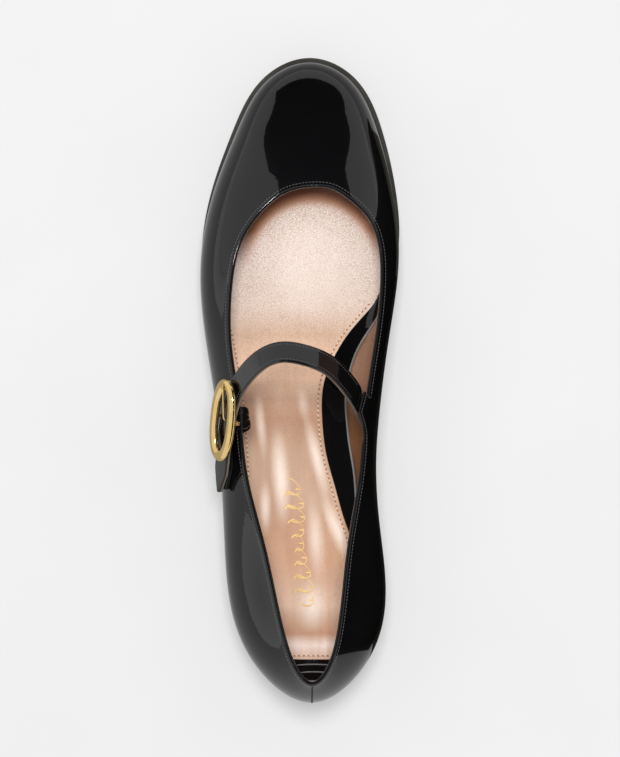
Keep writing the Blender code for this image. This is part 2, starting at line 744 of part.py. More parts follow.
def main():
    """Build the shoe."""
    for old in list(bpy.data.objects):
        bpy.data.objects.remove(old)
    patent = material("patent_leather", (0.010, 0.010, 0.011), 0.12)
    sole_rubber = material("sole_rubber", (0.020, 0.019, 0.019), 0.55)
    heel_rubber = material("heel_rubber", (0.016, 0.016, 0.016), 0.50)
    footbed = material("footbed_patent", (0.012, 0.010, 0.010), 0.15)
    gold = material("gold", (0.85, 0.62, 0.28), 0.15, metallic=1.0)
    finder = WallFinder()
    make_outsole(sole_rubber)
    make_heel(heel_rubber)
    make_insole(footbed)
    make_upper(patent)
    make_tab(finder, patent)
    make_strap(finder, patent)
    make_buckle(finder, gold)


main()
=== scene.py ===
"""Ballet flat with an instep strap: the left shoe, dressed in patent leather round its fixed frame.

Lengths are millimetres in the shoe's own axes, +Y to the toe and -X to the outer side.
They become metres only when a piece's points are placed.
"""

import logging
from collections.abc import Callable, Sequence
from dataclasses import dataclass, field
from enum import Enum
from math import cos, pi, radians, sin
from typing import NamedTuple

import bmesh
import bpy
import numpy as np
from mathutils import Matrix, Vector
from mathutils.bvhtree import BVHTree


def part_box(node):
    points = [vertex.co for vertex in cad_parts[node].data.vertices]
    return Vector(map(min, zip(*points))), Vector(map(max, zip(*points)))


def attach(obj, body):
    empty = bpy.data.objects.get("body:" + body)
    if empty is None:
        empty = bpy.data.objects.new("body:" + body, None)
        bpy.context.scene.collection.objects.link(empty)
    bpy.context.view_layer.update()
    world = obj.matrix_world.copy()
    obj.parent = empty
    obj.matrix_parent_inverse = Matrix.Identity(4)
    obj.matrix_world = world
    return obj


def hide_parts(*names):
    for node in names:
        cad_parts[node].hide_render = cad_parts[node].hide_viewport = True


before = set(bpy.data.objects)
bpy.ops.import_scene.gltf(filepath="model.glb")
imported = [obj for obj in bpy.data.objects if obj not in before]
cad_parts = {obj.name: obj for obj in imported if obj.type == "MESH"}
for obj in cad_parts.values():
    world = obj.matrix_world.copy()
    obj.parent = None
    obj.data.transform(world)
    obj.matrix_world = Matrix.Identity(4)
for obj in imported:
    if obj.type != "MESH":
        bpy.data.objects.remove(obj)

MM = 0.001
# Where the shoe's own axes meet, seen from the frame's middle, in millimetres.
SPOT_SHIFT = (4.64, -0.08)
LOG = logging.getLogger("ballet_flat")
Object = bpy.types.Object
Material = bpy.types.Material
Socket = bpy.types.NodeSocket
Triple = tuple[float, float, float]
Array = np.ndarray
Ground = Callable[[Array, Array], Array]


# ---- tables of the form


class Section(NamedTuple):
    """A section round the shoe: plan outline, insets, wall heights and topline."""

    name: str
    outline_x: float
    outline_y: float
    upper_in: float
    feather_in: float
    sole_in: float
    belly_z: float
    shoulder: float
    shoulder_z: float
    top_x: float
    top_y: float
    top_z: float


SECTIONS: tuple[Section, ...] = (
    Section("toe_tip", -0.4, 125.0, 2.1, 3.2, 0.0, 25.0, 0.55, 33.0, 0.5, 74.3, 39.0),
    Section("toe_outer", -18.6, 117.6, 2.1, 3.2, 0.0, 24.5, 0.55, 32.5, -7.4, 73.0, 38.6),
    Section("vamp_outer", -31.4, 96.0, 1.9, 3.0, 0.0, 23.0, 0.52, 31.5, -16.0, 68.0, 37.5),
    Section("ball_front_outer", -40.4, 71.0, 1.6, 3.2, 0.3, 21.0, 0.48, 30.0, -25.0, 57.7, 35.5),
    Section("ball_outer", -44.3, 43.0, 1.0, 3.8, 1.0, 19.0, 0.42, 29.0, -30.8, 41.4, 34.0),
    Section("waist_front_outer", -41.5, 15.0, 0.3, 4.5, 2.6, 19.0, 0.38, 30.5, -31.9, 14.8, 35.5),
    Section("waist_outer", -37.2, -9.7, 0.0, 4.8, 3.6, 21.0, 0.34, 34.0, -28.6, -8.9, 39.0),
    Section("waist_rear_outer", -35.0, -35.0, 0.0, 4.6, 3.6, 23.0, 0.34, 36.5, -25.9, -34.4, 42.0),
    Section("heel_front_outer", -33.6, -65.0, 0.0, 4.8, 3.8, 25.0, 0.36, 39.5, -18.5, -63.8, 46.5),
    Section("heel_outer", -30.7, -90.5, 0.0, 4.6, 3.6, 26.0, 0.37, 42.0, -12.9, -88.6, 50.0),
    Section("heel_corner_outer", -20.6, -112.0, 0.0, 4.4, 3.4, 26.0, 0.38, 43.5, -7.3, -107.8, 52.5),
    Section("heel_back", 0.5, -125.0, 0.0, 4.2, 3.2, 26.0, 0.40, 44.0, 1.2, -116.6, 54.0),
    Section("heel_corner_inner", 19.8, -112.0, 0.0, 4.4, 3.4, 26.0, 0.38, 43.5, 9.0, -107.8, 52.5),
    Section("heel_inner", 28.3, -90.5, 0.0, 4.8, 3.8, 26.0, 0.37, 42.0, 13.0, -88.6, 50.0),
    Section("heel_front_inner", 27.6, -65.0, 0.0, 6.4, 5.4, 25.0, 0.37, 39.5, 15.8, -63.8, 47.0),
    Section("waist_rear_inner", 25.2, -35.0, 0.0, 8.8, 7.8, 24.0, 0.38, 37.5, 20.4, -35.4, 44.0),
    Section("waist_inner", 26.8, -9.7, 0.0, 11.5, 10.5, 23.0, 0.40, 35.5, 22.7, -9.5, 42.0),
    Section("waist_front_inner", 30.3, 15.0, 0.3, 10.2, 8.6, 21.0, 0.42, 32.0, 26.2, 14.8, 37.5),
    Section("ball_inner", 34.9, 50.0, 1.0, 4.6, 1.4, 19.0, 0.42, 29.5, 27.9, 48.5, 34.0),
    Section("ball_front_inner", 33.4, 71.0, 1.6, 3.4, 0.4, 21.0, 0.48, 30.0, 23.6, 61.5, 35.5),
    Section("vamp_inner", 27.6, 96.0, 1.9, 3.0, 0.0, 23.0, 0.52, 31.5, 14.6, 70.2, 37.5),
    Section("toe_inner", 16.3, 117.6, 2.1, 3.2, 0.0, 24.5, 0.55, 32.5, 7.3, 73.9, 38.6),
)


class BandRow(NamedTuple):
    """A point of a band's middle line and the direction in which its face looks."""

    x: float
    y: float
    z: float
    out_x: float
    out_y: float
    out_z: float


class WallRow(NamedTuple):
    """A point of a band at a distance off the upper's outer face."""

    side: str
    y: float
    z: float
    offset: float


class Crease(NamedTuple):
    """A soft trough (depth below zero) or ridge in leather, turned in plan from +Y."""

    name: str
    x: float
    y: float
    length: float
    width: float
    depth: float
    turn: float


class Spot(NamedTuple):
    """A soft oval on leather, painted lighter as a highlight (share above zero) or darker as shade."""

    x: float
    y: float
    width: float
    length: float
    turn: float
    share: float


class EdgeRow(NamedTuple):
    """The two edges of a flat piece at one distance along the shoe."""

    y: float
    outer_x: float
    inner_x: float


# ---- small mathematics


def unit(vectors: Array) -> Array:
    """Return rows scaled to length one."""
    lengths = np.linalg.norm(vectors, axis=-1, keepdims=True)
    return vectors / np.maximum(lengths, 1e-12)


def spline_moments(knots: Array, values: Array, closed: bool) -> Array:
    """Solve a cubic spline.

    Args:
        knots: places of the values, and of the close.
        values: a row for each knot but the closing one.
        closed: whether the last runs on into the first.

    Returns:
        The second derivatives at the values.
    """
    count = len(values)
    steps = np.diff(knots)
    system = np.eye(count)
    right = np.zeros(values.shape)
    for row in range(count) if closed else range(1, count - 1):
        before, after = steps[row - 1], steps[row]
        previous, following = (row - 1) % count, (row + 1) % count
        system[row, [previous, row, following]] = before, 2.0 * (before + after), after
        rise = (values[following] - values[row]) / after
        fall = (values[row] - values[previous]) / before
        right[row] = 6.0 * (rise - fall)
    return np.linalg.solve(system, right)


def spline_points(knots: Array, values: Array, places: Array, closed: bool = False) -> Array:
    """Sample the cubic spline through rows of values.

    Args:
        knots: places of the values, and of the close.
        values: a row for each knot but the closing one.
        places: where to sample.
        closed: whether the last runs on into the first.

    Returns:
        A row of values for each place.
    """
    moments = spline_moments(knots, values, closed)
    if closed:
        places = np.mod(places, knots[-1])
        values = np.vstack([values, values[:1]])
        moments = np.vstack([moments, moments[:1]])
    span = np.clip(np.searchsorted(knots, places, side="right") - 1, 0, len(knots) - 2)
    step = (knots[span + 1] - knots[span])[:, None]
    near = (places - knots[span])[:, None] / step
    far = 1.0 - near
    bend = (far**3 - far) * moments[span] + (near**3 - near) * moments[span + 1]
    return far * values[span] + near * values[span + 1] + bend * step**2 / 6.0


def chord_knots(points: Array, closed: bool = False) -> Array:
    """Return the running length through points, with the closing chord if closed.

    Args:
        points: a row each.
        closed: whether the last runs on into the first.

    Returns:
        A length for each point, and one more for the closing chord.
    """
    if closed:
        points = np.vstack([points, points[:1]])
    steps = np.linalg.norm(np.diff(points, axis=0), axis=1)
    return np.concatenate([[0.0], np.cumsum(steps)])


def bezier(controls: Sequence[Array], share: Array | float) -> Array:
    """Return the points of a cubic Bezier curve.

    Args:
        controls: the four control points, each an array with the same rows.
        share: one share for all rows, or a column of them.

    Returns:
        A point for each row and share.
    """
    rest = 1.0 - share
    weights = (rest**3, 3 * rest**2 * share, 3 * rest * share**2, share**3)
    return sum(weight * control for weight, control in zip(weights, controls))


def resampled(points: Array, places: Array) -> Array:
    """Return the points of a polyline at the given running lengths."""
    knots = chord_knots(points)
    return np.column_stack([np.interp(places, knots, points[:, axis]) for axis in range(points.shape[1])])


# ---- the last


class Last:
    """The form that everything is built round: outline, wall and the heights of the sole."""

    gap = 0.3
    wall = 1.8
    sole_thickness = 3.0
    seat_height = 7.0
    toe_spring = 6.5
    seat_front_y = -62.0
    tread_rear_y = 34.0
    tread_front_y = 62.0
    toe_tip_y = 125.0

    def __init__(self) -> None:
        """Read the table and find where the fixed frame puts the shoe's axes."""
        self._table = np.array([row[1:] for row in SECTIONS])
        self._knots = chord_knots(self._table[:, :2], closed=True)
        self.length = float(self._knots[-1])
        rows = self.rows(np.linspace(0.0, self.length, 96, endpoint=False))
        edge = self.inset(rows, rows["sole_in"])
        lowest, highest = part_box("outsole")
        middle = (np.array(lowest) + np.array(highest))[:2] / 2 / MM
        drift = (edge.min(axis=0) + edge.max(axis=0)) / 2 - middle
        self.centre = np.array([drift[0], drift[1], 0.0])

    def placed(self, points: Array) -> Array:
        """Turn the shoe's millimetres into the frame's metres."""
        return (points - self.centre) * MM

    def loft(self, name: str, rings: Sequence[Array], capped: bool = False) -> Object:
        """Loft rings given in millimetres, where they belong."""
        return Bench.loft(name, [self.placed(ring) for ring in rings], capped)

    def sole_bottom(self, y: Array) -> Array:
        """Return the heights of the sole's underside: toe spring, flat tread and raised seat.

        Args:
            y: distances along the shoe.

        Returns:
            A height for each distance.
        """
        toe = np.maximum((y - self.tread_front_y) / (self.toe_tip_y - self.tread_front_y), 0.0)
        seat = np.clip((self.tread_rear_y - y) / (self.tread_rear_y - self.seat_front_y), 0.0, 1.0)
        return self.toe_spring * toe**2 + self.seat_height * seat**2 * (3.0 - 2.0 * seat)

    def sole_top(self, y: Array) -> Array:
        """Return the heights of the sole's upper face at distances along the shoe."""
        return self.sole_bottom(y) + self.sole_thickness

    def rows(self, places: Array) -> dict[str, Array]:
        """Sample every column of the table.

        Args:
            places: running lengths round the outline, from the toe by the outer side.

        Returns:
            An array for each column, and the outline's outward direction as out_x and out_y.
        """
        sampled = spline_points(self._knots, self._table, places, closed=True)
        rows = {name: sampled[:, index] for index, name in enumerate(Section._fields[1:])}
        nudge = self.length * 1e-4
        plan = self._table[:, :2]
        ahead = spline_points(self._knots, plan, places + nudge, closed=True)
        behind = spline_points(self._knots, plan, places - nudge, closed=True)
        tangent = unit(ahead - behind)
        rows["out_x"] = tangent[:, 1]
        rows["out_y"] = -tangent[:, 0]
        return rows

    def places(self, spacing: float, fine: Sequence[tuple[float, float, float, float]]) -> Array:
        """Choose stations round the shoe.

        Args:
            spacing: ordinary distance between stations.
            fine: rows of side (-1 outer, 1 inner), topline y, reach and spacing of finer spots.

        Returns:
            Running lengths round the outline.
        """
        probe = np.linspace(0.0, self.length, 6001)
        rows = self.rows(probe)
        steps = np.full(len(probe), spacing)
        for side, y, reach, fine_spacing in fine:
            away = np.abs(rows["top_y"] - y) + 1e3 * (rows["top_x"] * side < -3.0)
            ease = np.clip(away / reach - 1.0, 0.0, 1.0)
            steps = np.minimum(steps, fine_spacing + (spacing - fine_spacing) * ease)
        run = np.concatenate([[0.0], np.cumsum(np.diff(probe) / steps[:-1])])
        count = int(round(run[-1]))
        return np.interp(np.arange(count) * run[-1] / count, run, probe)

    @staticmethod
    def inset(rows: dict[str, Array], distance: Array | float) -> Array:
        """Return plan points inside the outline by a distance.

        Args:
            rows: the sampled table.
            distance: millimetres inside the outline.

        Returns:
            A plan point for each row.
        """
        outline = np.column_stack([rows["outline_x"], rows["outline_y"]])
        outward = np.column_stack([rows["out_x"], rows["out_y"]])
        return outline - outward * np.asarray(distance, float).reshape(-1, 1)

    def wall_controls(self, rows: dict[str, Array]) -> tuple[Array, ...]:
        """Return the four control points of the wall's curve at every station.

        Args:
            rows: the sampled table.

        Returns:
            The feather line, belly, shoulder and topline.
        """
        widest = self.inset(rows, rows["upper_in"])
        feather = self.inset(rows, rows["feather_in"])
        outward = np.column_stack([rows["out_x"], rows["out_y"]])
        top = np.column_stack([rows["top_x"], rows["top_y"]])
        shoulder = top + (widest - top) * rows["shoulder"].reshape(-1, 1)
        reaches = [((plan - widest) * outward).sum(axis=1) for plan in (feather, shoulder, top)]
        belly = widest + outward * self.belly_push(*reaches).reshape(-1, 1)
        return (
            np.column_stack([feather, self.sole_top(feather[:, 1]) + self.gap]),
            np.column_stack([belly, rows["belly_z"]]),
            np.column_stack([shoulder, rows["shoulder_z"]]),
            np.column_stack([top, rows["top_z"]]),
        )

    def wall_rings(self, places: Array, top: float) -> Array:
        """Return rings up the wall's outer face at stations, to a share of its height."""
        controls = self.wall_controls(self.rows(places))
        return np.stack([bezier(controls, share) for share in np.linspace(0.0, top, 61)])

    @staticmethod
    def belly_push(feather: Array, shoulder: Array, top: Array) -> Array:
        """Return how far out the belly's control point lies so that the wall just reaches 0.

        Args:
            feather: reach of the feather line past the outline.
            shoulder: the shoulder's reach.
            top: the topline's reach.

        Returns:
            The belly's reach at each station.
        """
        shares = np.linspace(0.0, 1.0, 81)
        low = np.zeros(len(feather))
        high = np.full(len(feather), 60.0)
        for _ in range(40):
            middle = (low + high) / 2
            controls = [column.reshape(-1, 1) for column in (feather, middle, shoulder, top)]
            over = bezier(controls, shares.reshape(1, -1)).max(axis=1) > 0.0
            high = np.where(over, middle, high)
            low = np.where(over, low, middle)
        return middle

    def sides(self, column: str, distance: float, y: Array) -> tuple[Array, Array]:
        """Return the outer and inner x of a plan line at distances along the shoe.

        Args:
            column: the table's column that names the line.
            distance: millimetres further inside.
            y: distances along the shoe.

        Returns:
            The outer x and the inner x at each distance.
        """
        edge = self.plan_edge(column, distance)
        front = int(edge[:, 1].argmax())
        edge = np.roll(edge, -front, axis=0)
        rear = int(edge[:, 1].argmin())
        outer = edge[: rear + 1][::-1]
        inner = np.vstack([edge[rear:], edge[:1]])
        return np.interp(y, outer[:, 1], outer[:, 0]), np.interp(y, inner[:, 1], inner[:, 0])

    def plan_edge(self, column: str, distance: float) -> Array:
        """Return the closed plan line inside a named line by a distance."""
        rows = self.rows(np.linspace(0.0, self.length, 1600, endpoint=False))
        return self.inset(rows, rows[column] + distance)


def nearest(points: Array, y: float, side: float) -> int:
    """Return the point nearest to a distance along the shoe, on its outer (-1) or inner (1) side."""
    wrong_side = 100.0 * (points[:, 0] * side < 0.0)
    return int(np.argmin(abs(points[:, 1] - y) + wrong_side))


def eased(path: Array, times: int) -> Array:
    """Return a path whose inner points have settled between their neighbours a few times.

    Args:
        path: its points, which are changed too.
        times: how often.

    Returns:
        The path.
    """
    for _ in range(times):
        path[1:-1] = (path[:-2] + path[1:-1] * 2 + path[2:]) / 4
    return path


def inward_of(loop: Array) -> Array:
    """Return the inward plan directions of a closed edge that runs round by the outer side."""
    along = unit(np.roll(loop, -1, axis=0) - np.roll(loop, 1, axis=0))
    return np.column_stack([-along[:, 1], along[:, 0]])


def oval_rings(
    path: Array, side: Array, up: Array, breadth: Array | float, height: Array | float, count: int
) -> Array:
    """Return an oval ring round each point of a path.

    Args:
        path: the points.
        side: sideways direction at each point.
        up: upward direction at each point.
        breadth: half the ring's breadth, sideways.
        height: half the ring's height.
        count: points in a ring.

    Returns:
        The rings, an array of points for each point of the path.
    """
    turns = 2 * pi * np.arange(count) / count
    across = np.multiply.outer(np.broadcast_to(breadth, len(path)), np.cos(turns))
    rise = np.multiply.outer(np.broadcast_to(height, len(path)), np.sin(turns))
    return path[:, None] + side[:, None] * across[..., None] + up[:, None] * rise[..., None]


def net(rings: Array) -> BVHTree:
    """Lay closed rings of points as a net that rays can meet.

    Args:
        rings: all with the same count of points.

    Returns:
        The net.
    """
    count, around = rings.shape[:2]
    faces = []
    for row in range(count - 1):
        for column in range(around):
            beside = (column + 1) % around
            low = row * around
            faces.append((low + column, low + beside, low + around + beside, low + around + column))
    return BVHTree.FromPolygons([tuple(point) for point in rings.reshape(-1, 3)], faces)


class WallFinder:
    """Finds points from the side on the upper's outer face and its run on above the topline."""

    run_on = 1.3
    rings = 53

    def __init__(self, last: Last) -> None:
        """Lay the wall's face as a net.

        Args:
            last: the form.
        """
        places = np.linspace(0.0, last.length, 144, endpoint=False)
        self.controls = last.wall_controls(last.rows(places))
        shares = np.linspace(0.0, self.run_on, self.rings)
        self._tree = net(np.stack([bezier(self.controls, share) for share in shares]))

    def row(self, wall_row: WallRow) -> BandRow:
        """Return the band row that a wall row stands for.

        Args:
            wall_row: a side, a place and a distance off the face.

        Returns:
            The point there, with the direction in which the face looks.
        """
        sign = -1.0 if wall_row.side == "outer" else 1.0
        start = Vector((sign * 100.0, wall_row.y, wall_row.z))
        hit, normal, _, _ = self._tree.ray_cast(start, Vector((-sign, 0, 0)))
        if normal.x * sign < 0:
            normal = -normal
        spot = hit + normal * wall_row.offset
        return BandRow(*spot, *normal)


@dataclass
class WallGrid:
    """Rings of points up a face of the wall, from the feather line to a top edge."""

    last: Last
    points: Array
    normals: Array = field(init=False)
    turned_in: float = 6.0
    edge_round: int = 8

    def __post_init__(self) -> None:
        """Work out which way the face looks."""
        self.normals = self.look(self.points)

    @staticmethod
    def look(points: Array) -> Array:
        """Return the outward normals of a grid of rings."""
        along = np.roll(points, -1, axis=1) - np.roll(points, 1, axis=1)
        return unit(np.cross(along, np.gradient(points, axis=0)))

    def from_top(self) -> Array:
        """Return each point's distance below the top edge.

        Returns:
            A distance for each point of the grid.
        """
        steps = np.linalg.norm(np.diff(self.points, axis=0), axis=2)
        run = np.vstack([np.zeros((1, steps.shape[1])), np.cumsum(steps, axis=0)])
        return run[-1] - run

    def below_edge(self, distance: float, lift: float = 0.0) -> tuple[Array, Array]:
        """Return a line at a distance below the top edge, with its outward directions.

        Args:
            distance: down from the top edge.
            lift: height over the face.

        Returns:
            The points and the directions.
        """
        away = self.from_top()[::-1]
        line, looks = np.empty((2, away.shape[1], 3))
        for found, grid in ((line, self.points[::-1]), (looks, self.normals[::-1])):
            for station in range(away.shape[1]):
                for axis in range(3):
                    found[station, axis] = np.interp(distance, away[:, station], grid[:, station, axis])
        looks = unit(looks)
        return line + looks * lift, looks

    def shell(self, outside: float, inside: float, fold: "Fold | None" = None) -> list[Array]:
        """Return closed rings round a layer of the wall.

        Args:
            outside: depth of the layer's outer face.
            inside: depth of its inner face.
            fold: how the layer doubles over at its top edge.

        Returns:
            Rings from the margin under the foot, up outside, over the edge and down inside.
        """
        last = self.last
        feather = self.points[0]
        inward = inward_of(feather[:, :2])

        def margin(distance: float, rise: float) -> Array:
            """Return a ring inside the feather line at a rise above the sole."""
            plan = feather[:, :2] + inward * distance
            return np.column_stack([plan, last.sole_top(plan[:, 1]) + last.gap + rise])

        depth = np.full(self.points.shape[:2], inside)
        if fold is not None:
            share = np.clip((fold.drop + fold.ease - self.from_top()) / fold.ease, 0.0, 1.0)
            depth = depth + (fold.depth - inside) * share
        rings = [margin(self.turned_in, outside), margin(1.0 + outside, outside)]
        outer = self.points - self.normals * outside
        outer[0, :, 2] += 0.5
        inner = self.points - self.normals * depth[..., None]
        for level in (outer, inner):
            lowest = last.sole_top(level[..., 1]) + last.gap + (outside if level is outer else inside)
            level[..., 2] = np.maximum(level[..., 2], lowest)
        rings.extend(outer)
        half = (depth[-1][:, None] - outside) / 2
        top = (outer[-1] + inner[-1]) / 2
        up = unit(self.points[-1] - self.points[-2])
        for step in range(1, self.edge_round):
            turn = pi * step / self.edge_round
            rings.append(top + self.normals[-1] * cos(turn) * half + up * sin(turn) * half)
        rings.extend(inner[::-2])
        return [*rings, margin(1.0 + inside, inside), margin(self.turned_in, inside), rings[0]]


@dataclass
class Fold:
    """How leather doubles over at a top edge: depth by station, drop inside and run of its end."""

    depth: Array
    drop: float = 1.5
    ease: float = 0.5


class InnerFace:
    """Tells how high the lined wall stands over a plan point beside the footbed."""

    highest = 22.0

    def __init__(self, last: Last) -> None:
        """Lay the inner face as a net."""
        grid = WallGrid(last, last.wall_rings(np.linspace(0.0, last.length, 288, endpoint=False), 0.8))
        self._tree = net(grid.points - grid.normals * last.wall)

    def height(self, x: float, y: float) -> float:
        """Return the height of the face's flaring foot over a point, or 0 where it does not reach."""
        hit, normal, _, _ = self._tree.ray_cast(Vector((x, y, 1.0)), Vector((0, 0, 1)))
        return hit.z if hit is not None and hit.z < self.highest and normal.z < 0.0 else 0.0


# ---- the modelling bench


class Bench:
    """Where new pieces are modelled by hand: primitive, edit-mode work, then modifiers."""

    @staticmethod
    def primitive(name: str, operator: Callable[..., set[str]], **sizes: object) -> Object:
        """Add a primitive with nothing else selected, and name it.

        Args:
            name: the piece's name.
            operator: the operator that adds it.
            sizes: the operator's own settings.

        Returns:
            The piece.
        """
        if bpy.context.mode != "OBJECT":
            bpy.ops.object.mode_set(mode="OBJECT")
        bpy.ops.object.select_all(action="DESELECT")
        operator(**sizes)
        made = bpy.context.object
        made.name = name
        made.data.name = name
        return made

    @staticmethod
    def lay(made: Object, ring: Array) -> None:
        """Move the selected loop of vertices onto a ring of points.

        Args:
            made: the piece, in edit mode.
            ring: its new places, in metres.
        """
        form = bmesh.from_edit_mesh(made.data)
        station = form.verts.layers.int["station"]
        for vertex in form.verts:
            if vertex.select:
                vertex.co = ring[vertex[station]]

    @classmethod
    def loft(cls, name: str, rings: Sequence[Array], capped: bool = False) -> Object:
        """Extrude a circle ring by ring and shape each new ring.

        Args:
            name: the piece's name.
            rings: rings of points in metres, all with the same count.
            capped: whether the first and last ring are filled; otherwise they meet or close up.

        Returns:
            The closed piece.
        """
        made = cls.primitive(name, bpy.ops.mesh.primitive_circle_add, vertices=len(rings[0]), radius=MM)
        bpy.ops.object.mode_set(mode="EDIT")
        form = bmesh.from_edit_mesh(made.data)
        station = form.verts.layers.int.new("station")
        for index, vertex in enumerate(form.verts):
            vertex[station] = index
        cls.lay(made, rings[0])
        for ring in rings[1:]:
            bpy.ops.mesh.extrude_edges_indiv()
            cls.lay(made, ring)
        bpy.ops.mesh.select_all(action="SELECT")
        if capped:
            bpy.ops.mesh.fill_holes(sides=0)
            bpy.ops.mesh.select_all(action="SELECT")
        bpy.ops.mesh.remove_doubles(threshold=1e-7)
        bpy.ops.mesh.dissolve_degenerate(threshold=1e-7)
        bpy.ops.mesh.select_all(action="SELECT")
        bpy.ops.mesh.normals_make_consistent(inside=False)
        bpy.ops.object.mode_set(mode="OBJECT")
        made.data.attributes.remove(made.data.attributes["station"])
        return cls.smoothed(made)

    @staticmethod
    def take(made: Object) -> None:
        """Select one piece alone, ready for an operator.

        Args:
            made: the piece.
        """
        bpy.ops.object.select_all(action="DESELECT")
        made.select_set(True)
        bpy.context.view_layer.objects.active = made

    @classmethod
    def smoothed(cls, made: Object, degrees: float = 40.0) -> Object:
        """Shade a piece smooth between its crisp edges.

        Args:
            made: the piece.
            degrees: the least turn of a crisp edge.

        Returns:
            The same piece.
        """
        cls.take(made)
        bpy.ops.object.shade_smooth_by_angle(angle=radians(degrees))
        return made

    @classmethod
    def stamped(cls, name: str, pattern: Object, frames: "Frames") -> Object:
        """Copy a modelled pattern to every frame, as one mesh.

        Args:
            name: the piece's name.
            pattern: the modelled pattern, in metres round its own origin; it is used up.
            frames: where the copies go.

        Returns:
            The piece with all its copies.
        """
        count = len(pattern.data.vertices)
        base = np.zeros(count * 3)
        pattern.data.vertices.foreach_get("co", base)
        vertices = frames.spots[:, None]
        for axis, directions in enumerate((frames.along, frames.across, frames.out)):
            vertices = vertices + base.reshape(-1, 3)[None, :, axis, None] * directions[:, None]
        faces = [tuple(face.vertices) for face in pattern.data.polygons]
        starts = range(0, len(frames.spots) * count, count)
        skins = [tuple(corner + start for corner in face) for start in starts for face in faces]
        mesh = bpy.data.meshes.new(name)
        mesh.from_pydata(vertices.reshape(-1, 3).tolist(), [], skins)
        bpy.data.objects.remove(pattern)
        made = bpy.data.objects.new(name, mesh)
        bpy.context.scene.collection.objects.link(made)
        return cls.smoothed(made)


@dataclass
class Frames:
    """Places in metres with three directions each: along, across and out."""

    spots: Array
    along: Array
    across: Array
    out: Array

    @classmethod
    def on_line(
        cls, last: Last, line: Array, out: Array, pitch: float, closed: bool = False, start: float = 0.5
    ) -> "Frames":
        """Space frames evenly on a line that lies on a surface.

        Args:
            last: gives the placing.
            line: points in millimetres.
            out: the surface's outward direction at each point.
            pitch: distance between frames.
            closed: whether the line runs on into its start.
            start: where the first frame lies, as a share of the pitch.

        Returns:
            The frames.
        """
        if closed:
            line = np.vstack([line, line[:1]])
            out = np.vstack([out, out[:1]])
        knots = chord_knots(line)
        count = max(int(round(knots[-1] / pitch)), 1)
        places = (np.arange(count) + start) * knots[-1] / count
        spots = resampled(line, places)
        along = unit(resampled(line, places + 0.2) - resampled(line, places - 0.2))
        looks = np.column_stack([np.interp(places, knots, out[:, axis]) for axis in range(3)])
        looks = unit(looks - along * (looks * along).sum(axis=1, keepdims=True))
        return cls(last.placed(spots), along, np.cross(looks, along), looks)


def stitch_row(
    name: str, frames: Frames, length: float, width: float, slant: float = 0.0, flat: float = 1.0
) -> Object:
    """Sew a row of stitches: one stitch modelled from a ball, then copied along.

    Args:
        name: the row's name.
        frames: where the stitches lie.
        length: of one stitch, in millimetres.
        width: of the thread, in millimetres.
        slant: how far each stitch turns from the row, in degrees.
        flat: height as a share of the width.

    Returns:
        The row as one piece.
    """
    ball = bpy.ops.mesh.primitive_uv_sphere_add
    stitch = Bench.primitive(name + "_pattern", ball, segments=8, ring_count=6, radius=0.5 * MM)
    bpy.ops.object.mode_set(mode="EDIT")
    bpy.ops.mesh.select_all(action="SELECT")
    bpy.ops.transform.resize(value=(length, width, width * flat))
    bpy.ops.object.mode_set(mode="OBJECT")
    stitch.data.transform(Matrix.Rotation(radians(slant), 4, "Z"))
    return Bench.stamped(name, stitch, frames)


# ---- finishes


class Slot(Enum):
    """The record's material slots."""

    UPPER = "patent_leather"
    STRAP = "strap_patent"
    TAB = "tab_patent"
    FOOTBED = "footbed_patent"
    METAL = "gold_metal"
    SOLE = "sole_rubber"
    HEEL = "heel_rubber"


